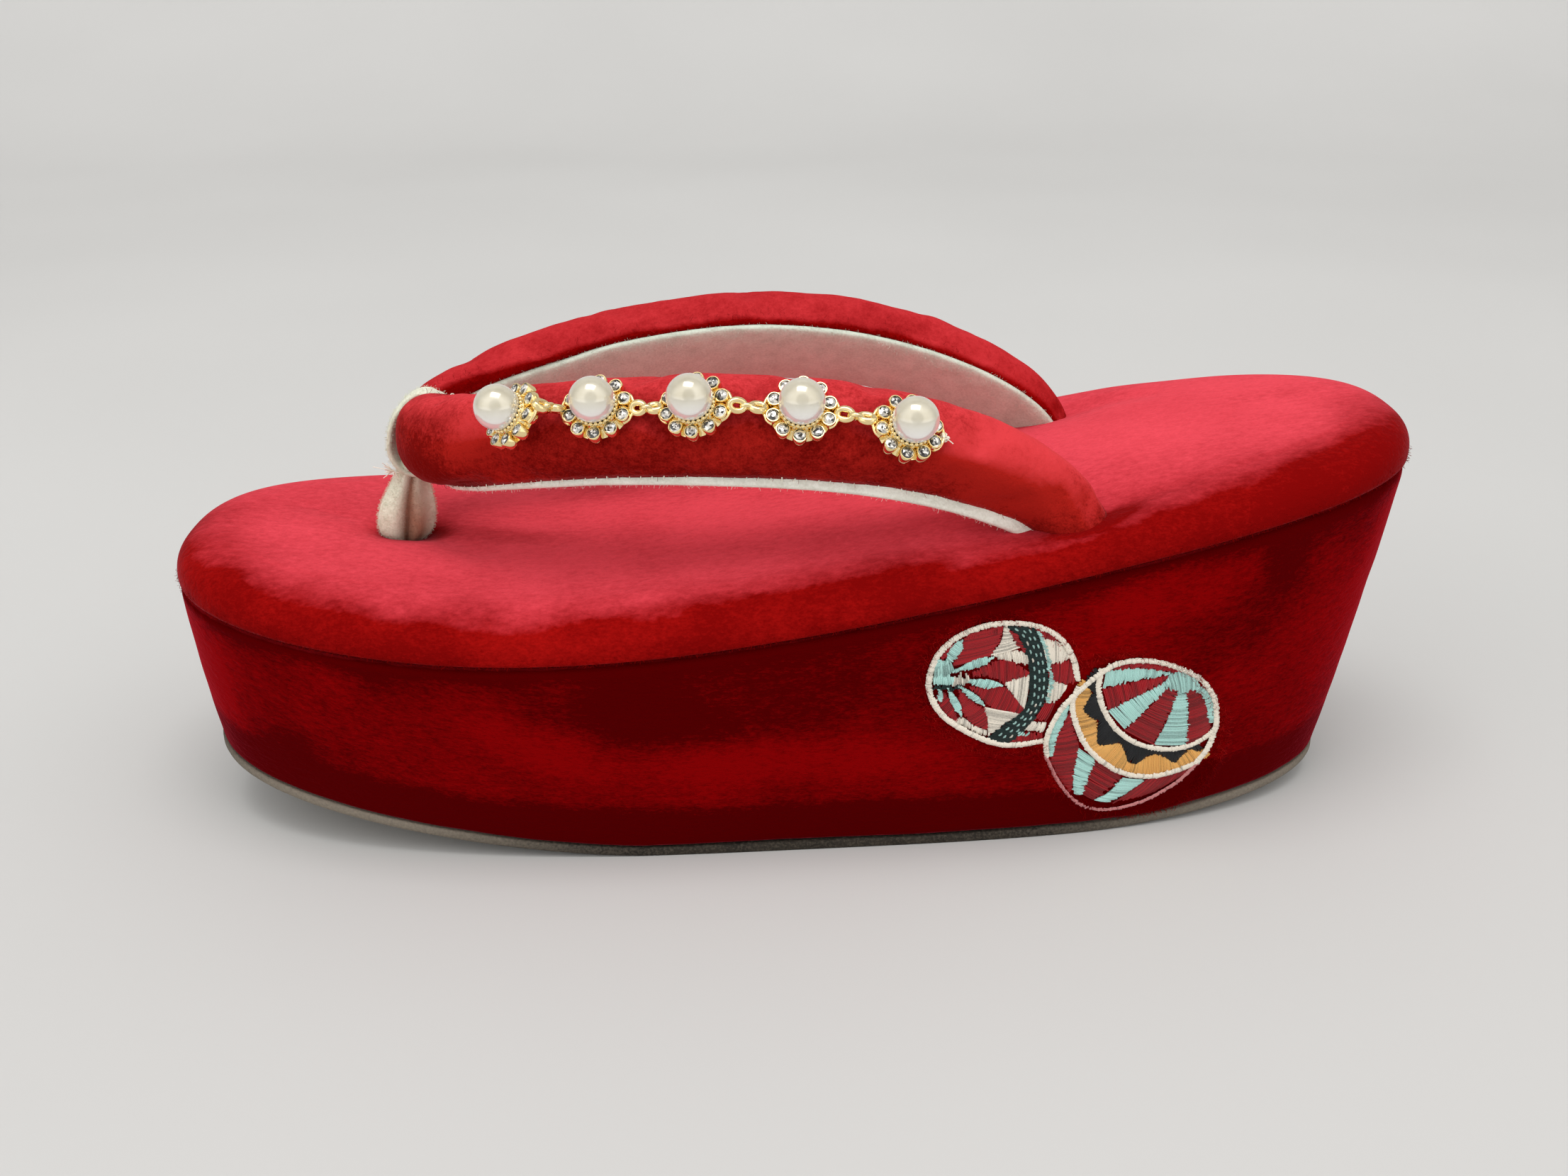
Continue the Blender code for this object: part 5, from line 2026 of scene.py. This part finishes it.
@dataclass(frozen=True)
class Satin:
    """One field of satin stitches, which cross from one rail to the other.

    A rail lists the places along and up of its points, one pair after another.
    """

    thread: Thread
    rail: Rail
    other: Rail
    layer: int = 0
    tone: float = 0.55
    ragged: float = 0.24
    pitch: float = 0.31


def charted(charts: dict[Thread, Chart]) -> list[Satin]:
    """Returns the satin fields of some charts, each a table of a Satin's numbers."""
    return [Satin(thread, *row) for thread, rows in charts.items() for row in rows]


def leaf(thread: Thread, base: Rail, tip: Rail, width: float, layer: int) -> Satin:
    """A slender leaf of stitches from a base to a tip, widest past its middle."""
    start = np.array(base)
    run = np.array(tip) - start
    side = unit(np.array([-run[1], run[0]])) * width / 2
    shares = np.linspace(0.0, 1.0, 9)[:, None]
    swell = np.maximum(np.sin(np.pi * shares**1.35) ** 0.8, 0.28 * (shares < 0.9))
    rails = start + shares * run + swell * side, start + (shares - 0.06) * run - swell * side
    return Satin(thread, *rails, layer, 0.65, 0.12)


def curve(points: Rail, count: int) -> Array:
    """Reads a smooth curve through some points of a plane at even steps."""
    table = np.array([(x, 0.0, y) for x, y in np.reshape(points, (-1, 2))])
    return smooth_rows(table, count - 1)[:, (0, 2)]


@dataclass(frozen=True)
class ThreadWork:
    """Two traditional thread balls in satin stitch on the outer wall near the heel.

    Each ball is charted in millimetres from its own middle, along the wall and up.
    """

    sole: Sole = SOLE
    radius: float = 0.19
    arch: float = 0.26
    lift: float = 0.08
    layer_lift: float = 0.12
    dash_lift: float = 0.40
    shortest: float = 0.25
    cord_width: float = 0.85
    crescent_middle: Point = (4.5, 5.0)
    tone_spread: float = 0.30
    # along and up at the base and the tip of each arm of the star, and its width
    arms: Rows = (
        (-10.8, 4.3, -7.6, 9.5, 2), (-9.2, 2.9, -2, 5.8, 1.8), (-7.6, 0.9, -0.4, -0.3, 1.8),
        (-8.4, -0.3, -3.8, -4.5, 1.3), (-10.4, -0.8, -8.1, -6.8, 1.4), (-12.1, -0.4, -11.9, -3.7, 1),
        (-12.7, 2, -12, 5.8, 1.5), (-11.3, 3, -11.2, 5.4, 1.2),
    )
    back_rim: Rail = (
        14.3, 1.3, 13.6, 5, 12.3, 8.2, 9.8, 11.2, 6.2, 13, 2, 13.6, -2.5, 13.3, -6.5, 11.9, -9.8, 9.8, -12.4,
        6.9, -13.9, 3.4, -14.5, -0.2, -13.6, -4, -11.6, -7.2, -8.3, -9.9, -4, -12.3, 0, -13.5, 4, -13.3, 7.4,
        -12.6,
    )
    front_rim: Rail = (
        -16.2, -5, -16.4, -1.5, -15, 2.8, -12.6, 6.8, -9.4, 10.4, -6, 13.6, -2.8, 15.9, 1.5, 16.9, 5.5, 16.6,
        9.6, 15.2, 13.4, 12.6, 15.7, 8.6, 16.3, 4.4, 15.9, 0.2, 14.6, -3.6, 12.4, -7,
    )
    low_rim: Rail = (
        12.4, -7, 9.4, -10.6, 5.4, -13.6, 1.6, -15.6, -3, -16.9, -7.6, -16.6, -11.4, -14, -14.2, -9.6, -16.2,
        -5,
    )
    inner_arc: Rail = (
        -5.4, 14.2, -6, 10.5, -5.6, 7, -4.4, 3.8, -2.4, 0.6, 0.4, -1.8, 3.8, -3.1, 7.2, -3.5, 10.6, -2.8,
        13.4, -1.2, 15.2, 0.4,
    )
    outer_arc: Rail = (
        -9.8, 10.2, -10.9, 6.4, -10.2, 2, -8.6, -2.2, -6.2, -5.4, -3, -8, 0.6, -9.4, 4.4, -9.6, 8.4, -8.5,
        12.6, -6.6,
    )
    teeth: Rail = (
        -8.6, 10.6, -7.2, 9, -8, 7, -8.7, 5.2, -7.4, 3.4, -6.1, 2.4, -6.2, -0.4, -6, -2.6, -4.4, -2.6, -2,
        -2.2, -1.1, -4.2, -0.2, -6.6, 1, -6.9, 3, -5.3, 5, -4.7, 6.4, -5.4, 8.1, -6.7, 9.6, -5, 11.2, -3.6,
        12.8, -4.2, 14, -2.4,
    )

    # the satin fields of each floss: two rails, layer, tone, raggedness
    back_red: Chart = (
        ((-11.8, 4.6, -11.2, 7, -8.6, 9.2), (-11.8, 4.6, -10.3, 5.8, -8.5, 9.2)),
        ((-9.4, 4, -7.8, 8, -6.7, 10.6), (-2.3, 6.2, -1, 9, -0.2, 12.2)),
        ((-6.7, 10.6, -3.5, 11.9, -0.3, 12.4), (-6.4, 9.4, -3, 10, -0.6, 10.8)),
        ((-6.6, 2.1, -1.8, 5, 0.8, 5.2, 4.6, 2.6), (-6.6, 2, -1.4, 1.2, 0, 0.1, 4.4, 2.2)),
        ((-6.6, -0.5, -0.2, -0.6, 1.6, -2.2, 3.5, -5), (-6.4, -0.7, -3.6, -4, -0.4, -6.1, 3.3, -6.2)),
        ((-8.4, -0.8, -5.2, -4.4, -3.5, -5.2, -3.1, -9.8), (-8.6, -1.6, -7.8, -6.2, -6, -8.2, -3.2, -10)),
        ((-11.8, -1.4, -10.6, -2.2, -8.7, -7.4), (-12.9, -3, -11.8, -5.6, -9.4, -8.2), 0, 0.4),
        ((1, 11.4, 1.9, 9.6, 3.9, 6.8), (2.4, 10.8, 3.3, 9, 4, 6.6), 0, 0.35),
        ((6, 12.3, 8.2, 11.6, 9.8, 10.2), (6.6, 10.2, 8.2, 9.8, 9.4, 9.4)),
        ((8.2, 4.3, 10.4, 4.9, 12.3, 5.3, 13, 3.4), (8.5, 1, 10.4, 0.5, 11.8, 0.2, 13.2, 0.9)),
        ((7.8, -4.1, 9.6, -4), (5.9, -7.7, 8, -7.8)),
        ((1.4, -12.2, 3.6, -10.6, 7.2, -10.5), (1, -12.9, 4, -12.7, 7.1, -12.2), 0, 0.4),
    )
    back_cream: Chart = (
        ((0.1, 12.5, -0.4, 9.2, -2.1, 6.3), (0.8, 12, 1.5, 9.6, 2.9, 7.9)),
        ((-2.1, 6.2, 1.2, 7.2, 4, 7), (-2.1, 5.8, 1, 5, 4.5, 4.1)),
        ((0.1, 0.2, 2.2, 1.2, 4.7, 2), (0.1, 0, 1.8, -2.4, 3.7, -5.8)),
        ((-3.7, -5.1, -3.1, -8, -2.8, -10.4), (3, -6.5, 0.6, -8.2, -2, -10.2)),
        ((-9.7, -7.5, -7.9, -7.2, -6.2, -8.6, -2.9, -10.3), (-9.5, -8, -7.5, -9.3, -5.4, -10.3, -3, -11.1)),
        ((6.9, 10.1, 9.3, 9.6, 11.2, 8.1, 12.3, 6.4), (8.1, 4.3, 9.4, 4.6, 10.8, 5, 12.1, 5.5), 0, 0.75),
        ((8.6, 1, 10.2, 0.6, 11.8, 0), (8.1, -3.9, 9.6, -3.8, 11.2, -1.6), 0, 0.75),
        ((5.4, -8.1, 8, -8.3), (3.9, -10, 7.3, -10.4), 0, 0.7),
        ((-9.6, 0, -8, 0.2, -6.6, 0.8), (-9.2, 1.8, -8, 2, -6.8, 1.8), 3, 0.15, 0.4),
    )
    back_aqua: Chart = (
        ((6.1, 11.4, 7.2, 8.2, 8.2, 4, 8.5, 0, 8.1, -3.6),
         (6.7, 11.2, 7.8, 8.2, 8.7, 4.2, 9, 0, 8.4, -3.8), 1, 0.4),
        ((2.6, -10.6, 3.9, -11.2), (3.2, -10.1, 4.4, -10.8), 1, 0.5),
        ((-13, 0.5, -11, 0.2, -9.3, 0.4), (-13, 2.2, -11.2, 2, -9.6, 1.9), 3, 0.85, 0.3),
        ((-12.9, 2, -10.6, 2.2, -9.4, 3), (-12.6, 4.2, -11, 4.8, -9.9, 4.6), 3, 0.35, 0.5),
    )
    back_green: Chart = (
        ((0, 12.5, 2.4, 10.8, 3.6, 8, 4.5, 4.6, 4.8, 1, 4.5, -3.6, 3, -6.4, 0.6, -8.4, -3.6, -11.9),
         (5.6, 12.3, 6.5, 9.8, 7.5, 7, 8.1, 3.6, 8.2, 0.6, 7.8, -3.4, 6.2, -6.6, 4.4, -9, 0.9, -13), 1, 0.4),
        ((-13, -0.6, -9.4, -0.9, -7.8, 0), (-12.6, 0, -9.2, 0.1, -7.6, 0.7), 2, 0.4, 0.4),
    )
    front_red: Chart = (
        ((-3.8, 15, 0, 15.8, 4, 15.9, 8.4, 15.3, 10.2, 14.4),
         (-4.2, 13.8, 0, 14.5, 4, 14.5, 7.2, 13.9, 9, 13.8)),
        ((-5, 9.9, -1, 11, 3, 12.2, 6.8, 13.2), (-4, 5.2, 0, 7.7, 3.6, 9.9, 6.6, 12), 0, 0.65),
        ((-0.9, 0.8, 2.2, 4.4, 5, 7.8, 6.6, 10.3), (4.3, -2.5, 6, 1.6, 7.4, 5.4, 8.7, 9.6), 0, 0.4),
        ((10.3, -2.5, 10.7, 2, 10.7, 6, 10.2, 9.8), (14.6, -0.4, 15, 2.6, 14.1, 7.4, 11.6, 10.4), 0, 0.25),
        ((12.2, 12.2, 14.4, 10.2, 15.5, 7.6), (12.4, 13, 14.8, 11, 15.8, 8.2), 0, 0.3),
        ((-11, 5, -10.4, 0.8, -9.6, -3.4, -10.3, -8, -11, -13.2),
         (-11.8, 3.6, -13.8, -1, -15.2, -5.4, -14, -8.8, -11.6, -12.8), 0, 0.35),
        ((-6.5, -6, -7.6, -9.2, -8.4, -11.8, -8.7, -13.3),
         (-1.6, -9.6, -3.2, -11.6, -5, -13.4, -6.6, -14.8), 0, 0.35),
        ((3.2, -10.4, 8, -9.4, 11.8, -7.6), (-2.6, -15.2, 3, -13.8, 9.6, -9.8), 0, 0.2),
    )
    front_aqua: Chart = (
        ((-4.4, 13.6, -2, 14.4, 2, 14.6, 5, 14.3, 7.2, 13.8), (-5, 10.1, -1, 11.2, 3, 12.4, 7, 13.2), 0, 0.7),
        ((-4, 5, 0, 7.6, 3.6, 9.8, 6.6, 11.9), (-1, 0.9, 1.6, 4, 4.4, 7.2, 6.8, 10.6), 0, 0.8),
        ((4.4, -2.5, 6.4, 1.8, 7.6, 5.4, 8.8, 9.8), (10.2, -2.5, 10.5, 2, 10.5, 6, 10, 9.9), 0, 0.55),
        ((11.4, 10.6, 13.3, 8.8, 14.1, 6, 14.7, 2.6), (12.2, 12, 14.3, 10, 15.3, 7, 15.4, 2.8), 1, 0.5),
        ((6.4, 11.8, 7.4, 13.6, 9.4, 14.3, 11.4, 13.5, 12.3, 11.9),
         (6.8, 10.6, 7.8, 10, 9.4, 9.6, 11.4, 10.2, 12.5, 11.2), 2, 0.4, 0.25),
        ((-11.2, 7, -12, 3.2, -13.4, -0.2, -14.4, -4.8),
         (-12.2, 6.6, -14.2, 3.2, -15.3, -0.2, -15.7, -4.9), 0, 0.7),
        ((-9.5, -3.4, -10.3, -7, -10.6, -10.6, -10.4, -13.3),
         (-6.6, -6, -7.7, -9, -8.4, -11.6, -9, -13.4), 0, 0.75),
        ((-1.4, -10.1, -2.8, -12, -4.6, -13.8, -6.6, -14.8),
         (2.8, -10.7, 0.8, -12.2, -1.4, -13.8, -4, -15.2), 0, 0.65),
    )

    def back_fields(self) -> list[Satin]:
        """The back ball: star, petals, triangles, checks and dark band."""
        arms = [leaf(Thread.AQUA, arm[:2], arm[2:4], arm[4], 2) for arm in self.arms]
        charts = {
            Thread.RED: self.back_red, Thread.CREAM: self.back_cream,
            Thread.AQUA: self.back_aqua, Thread.GREEN: self.back_green,
        }
        return charted(charts) + arms

    def dashes(self) -> list[tuple[Thread, Array, float]]:
        """The three rows of running stitches along the dark band, with their tones."""
        low, high = (curve(rail, 80) for rail in self.back_green[0][:2])
        chance = np.random.default_rng(5)
        found = []
        for row, share in enumerate((0.25, 0.50, 0.75)):
            line = low * (1 - share) + high * share
            for k in range(2 + row % 2, 75, 5):
                thread = Thread.CREAM if chance.random() < 0.10 else Thread.AQUA
                found.append((thread, line[k : k + 3], chance.uniform(0.0, 0.3)))
        return found

    def crescent(self) -> list[Satin]:
        """The toothed crescent between the two arcs, black inside and gold outside."""
        middle = np.array(self.crescent_middle)

        def reach(points: Rail, angles: Array) -> Array:
            """How far a line of points lies from the crescent's middle at some angles."""
            away = curve(points, 160) - middle
            turn = np.degrees(np.arctan2(away[:, 1], away[:, 0])) % 360
            order = np.argsort(turn)
            return np.interp(angles, turn[order], np.linalg.norm(away, axis=1)[order])

        angles = np.linspace(140.0, 316.0, 166)
        way = np.column_stack([np.cos(np.radians(angles)), np.sin(np.radians(angles))])
        inner, outer = reach(self.inner_arc, angles), reach(self.outer_arc, angles)
        tooth = np.clip(reach(self.teeth, angles), inner, outer)
        rails = [middle + way * far[:, None] for far in (inner, tooth, outer)]
        gold = angles > 153.0
        return [
            Satin(Thread.BLACK, rails[0], rails[1], 0, 0.4, 0.22),
            Satin(Thread.GOLD, rails[1][gold], rails[2][gold], 0, 0.7, 0.2),
        ]

    def front_fields(self) -> list[Satin]:
        """The front ball: wedges that meet in a knob, a toothed crescent and wedges below."""
        wedges = charted({Thread.RED: self.front_red, Thread.AQUA: self.front_aqua})
        cream, width = Thread.CREAM, self.cord_width
        arcs = [self.cord(cream, arc, width, 0.5) for arc in (self.outer_arc, self.inner_arc)]
        return wedges + self.crescent() + arcs

    def cord(self, thread: Thread, line: Rail, width: float, inset: float, layer: int = 2) -> Satin:
        """A narrow ridge of satin stitches along a line.

        Args:
            thread: The floss.
            line: The points that it follows.
            width: How long its stitches are.
            inset: The share of the width that lies to the right of the line.
            layer: How high it lies over the other stitches.

        Returns:
            The field.
        """
        spine = curve(line, 120)
        run = unit(np.gradient(spine, axis=0))
        right = np.column_stack([run[:, 1], -run[:, 0]])
        rails = [spine + right * width * share for share in (inset, inset - 1.0)]
        return Satin(thread, *rails, layer, 0.9, 0.09, 0.29)

    def stitches(self, satin: Satin) -> tuple[Array, Array]:
        """Lays out the stitches of one field.

        Args:
            satin: The field.

        Returns:
            Pairs of ends in the ball's own plane, and the stitches' tones.
        """
        rails = [np.reshape(rail, (-1, 2)) for rail in (satin.rail, satin.other)]
        rails = [curve(rail, 60) if len(rail) < 60 else rail for rail in rails]
        count = max(int(max(travelled(rail)[-1] for rail in rails) / satin.pitch), 2)
        first, last = (resample(rail, count) for rail in rails)
        chance = np.random.default_rng(int(abs(first.sum()) * 100) + count)
        shift = chance.normal(0.0, satin.ragged, (2, count, 1)) * unit(last - first)[None]
        pairs = np.stack([first - np.abs(shift[0]) * 0.6 + shift[0] * 0.4, last + shift[1]], axis=1)
        drift = np.convolve(chance.normal(0.0, 1.0, count + 4), np.ones(5) / 5, mode="valid") * 0.5
        tones = satin.tone + self.tone_spread * (chance.normal(0.0, 1.0, count) + drift)
        long_enough = np.linalg.norm(pairs[:, 1] - pairs[:, 0], axis=1) > self.shortest
        return pairs[long_enough], np.clip(tones[long_enough], 0.0, 1.0)

    def build(self) -> None:
        """Makes the stitches of both balls, one piece for each floss."""
        lines: dict[Thread, list[tuple[Array, float, float]]] = {thread: [] for thread in Thread}
        back = self.back_fields() + [self.cord(Thread.CREAM, self.back_rim, 0.95, 0.0, 3)]
        front = self.front_fields() + [
            self.cord(Thread.CREAM, self.front_rim, 0.9, 1.0, 3),
            self.cord(Thread.ROSE, self.low_rim, 0.5, 1.0, 3),
        ]
        for ball, fields in ((BACK_BALL, back), (FRONT_BALL, front)):
            for satin in fields:
                pairs, tones = self.stitches(satin)
                lift = self.lift + self.layer_lift * satin.layer
                for pair, tone in zip(ball.wrap(pairs), tones):
                    lines[satin.thread].append((pair, lift, tone))
        for thread, dash, tone in self.dashes():
            lines[thread].append((BACK_BALL.wrap(dash), self.dash_lift, tone))
        for thread, found in lines.items():
            self.sew(thread, found)

    def sew(self, thread: Thread, found: list[tuple[Array, float, float]]) -> None:
        """Lays the stitches of one floss on the wall.

        Args:
            thread: The floss.
            found: Each stitch's points, how far it stands off the cloth, and its tone.
        """
        lines, outs = [], []
        shares = np.linspace(0.0, 1.0, 4)[:, None]
        for line, lift, _ in found:
            if len(line) == 2:
                line = line[0] * (1 - shares) + line[1] * shares
            lines.append(line)
            outs.append(np.full(len(line), lift))
        flat = np.vstack(lines)
        points, normals = self.sole.on_wall(flat[:, 0], flat[:, 1], 0.0)
        points = points + normals * np.concatenate(outs)[:, None]
        cuts = np.cumsum([len(line) for line in lines])[:-1]
        tones = [tone for _, _, tone in found]
        source = edges_object("thread_tool", np.split(points, cuts), np.split(normals, cuts), tones)
        sizes = {"Radius": self.radius * MM, "Arch": self.arch * MM, "Steps": 6, "Sides": 5}
        name = "thread_work_" + thread.name.lower()
        show(TREES.thread.run(source, name, thread.value, **sizes), Slot.COTTON)


def resample(line: Array, count: int) -> Array:
    """Returns count points at even steps along a line."""
    reach = travelled(line)
    return read_at(np.linspace(0.0, reach[-1], count), reach, line)


@dataclass(frozen=True)
class Studio:
    """The pale floor, the soft lights and the photograph's viewpoint."""

    focal_length: float = 36.15
    distance: float = 322.0
    azimuth: float = -1.97
    elevation: float = 23.33
    roll: float = -0.55
    target: Spot = (-1.685, 0.0, 39.5)
    floor_size: float = 6.0
    floor_depth: float = 0.9
    bend_radius: float = 0.6
    backdrop_height: float = 2.6
    front_sky: float = 1.34
    back_sky: float = 0.42
    photographer: float = 0.55
    photographer_way: Spot = (0.0, -0.92, 0.39)
    key: float = 4.3

    def camera(self) -> None:
        """Sets the camera at the photograph's angle."""
        a, e = math.radians(self.azimuth), math.radians(self.elevation)
        back = Vector((math.sin(a) * math.cos(e), -math.cos(a) * math.cos(e), math.sin(e)))
        lens = bpy.data.cameras.new("camera")
        lens.lens = self.focal_length
        lens.sensor_width = 36.0
        lens.clip_start = 0.01
        lens.clip_end = 50.0
        camera = placed("camera", lens)
        camera.location = (Vector(self.target) + back * self.distance) * MM
        camera.rotation_mode = "QUATERNION"
        turn = Matrix.Rotation(math.radians(self.roll), 4, back)
        level = back.to_track_quat("Z", "Y").to_matrix().to_4x4()
        camera.rotation_quaternion = (turn @ level).to_quaternion()
        bpy.context.scene.camera = camera

    def floor(self) -> None:
        """Lays the pale floor, which curves up behind into a backdrop."""
        half, deep, bend = self.floor_size / 2, self.floor_depth, self.bend_radius
        profile = [(-half, 0.0), (deep, 0.0)]
        for turn in np.linspace(0.1, math.pi / 2, 12):
            profile.append((deep + bend * math.sin(turn), bend * (1 - math.cos(turn))))
        profile.append((deep + bend, self.backdrop_height))
        points = [(x, y, z) for y, z in profile for x in (-half, half)]
        faces = [(2 * k, 2 * k + 1, 2 * k + 3, 2 * k + 2) for k in range(len(profile) - 1)]
        floor = as_object("floor", np.array(points) / MM, faces, PalePaper())

    def light(self, name: str, place: Spot, size: Point, power: float, colour: Colour) -> None:
        """Hangs one soft rectangular light that looks at the shoe.

        Args:
            name: Its name.
            place: Where it hangs, in metres.
            size: Its length and width, in metres.
            power: Its power in watts.
            colour: Its colour.
        """
        lamp = bpy.data.lights.new(name, "AREA")
        lamp.shape = "RECTANGLE"
        lamp.size, lamp.size_y = size
        lamp.energy = power
        lamp.color = colour
        item = placed(name, lamp)
        item.location = place
        aim = Vector(place) - Vector((0.0, 0.0, 0.05))
        item.rotation_mode = "QUATERNION"
        item.rotation_quaternion = aim.to_track_quat("Z", "Y")

    def world(self) -> None:
        """Lights the studio evenly, more from the front, with the photographer as a darker patch."""
        world = bpy.data.worlds.new("studio")
        world.use_nodes = True
        tree = world.node_tree

        def fade(value: Socket, low: float, high: float, start: float, end: float) -> Socket:
            """Fades from start to end while the value goes from low to high."""
            inputs = {0: value, 1: low, 2: high, 3: start, 4: end}
            return add_node(tree, "ShaderNodeMapRange", inputs, interpolation_type="SMOOTHSTEP").outputs[0]

        way = add_node(tree, "ShaderNodeTexCoord").outputs["Generated"]
        split = add_node(tree, "ShaderNodeSeparateXYZ", {0: way}).outputs
        sky = fade(split[1], -0.5, 0.5, self.front_sky, self.back_sky)
        inputs = {0: way, 1: self.photographer_way}
        facing = add_node(tree, "ShaderNodeVectorMath", inputs, operation="DOT_PRODUCT").outputs["Value"]
        shade = fade(facing, 0.80, 0.93, 1.0, self.photographer)
        strength = add_node(tree, "ShaderNodeMath", {0: sky, 1: shade}, operation="MULTIPLY").outputs[0]
        background = tree.nodes["Background"]
        background.inputs["Color"].default_value = (1.0, 0.995, 0.985, 1.0)
        tree.links.new(strength, background.inputs["Strength"])
        bpy.context.scene.world = world

    def build(self) -> None:
        """Sets camera, floor, lights and the world's even light."""
        self.camera()
        self.floor()
        self.world()
        self.light(
            "key_above", place=(-0.05, -0.22, 1.15), size=(0.75, 0.5), power=self.key,
            colour=(1.0, 0.995, 0.98),
        )
        bpy.context.scene.view_settings.view_transform = "Standard"


def main() -> None:
    """Builds the pieces in a maker's order and sets the stage."""
    logging.basicConfig(level=logging.INFO, format="%(message)s")
    Studio().build()
    Outsole().build()
    Platform().build()
    Footbed().build()
    outer = Band("outer_band", side=-1)
    chain = Chain()
    sections = outer.sections()
    outer.build(np.array([chain.frame_of(k, sections).to_translation() for k in range(1, chain.count + 1)]))
    inner = Band(
        "inner_band", side=1, narrowing=0.79, setback=4.7, arch=2.8, front_drop=6.0,
        finish=INNER_VELVET_PAINTED_SHADE, lining_finish=INNER_LINING_PAINTED_SHADE, upper_stitches=False,
    )
    inner.build()
    ToePost().build()
    chain.build(sections)
    ThreadWork().build()


if __name__ == "__main__":
    main()
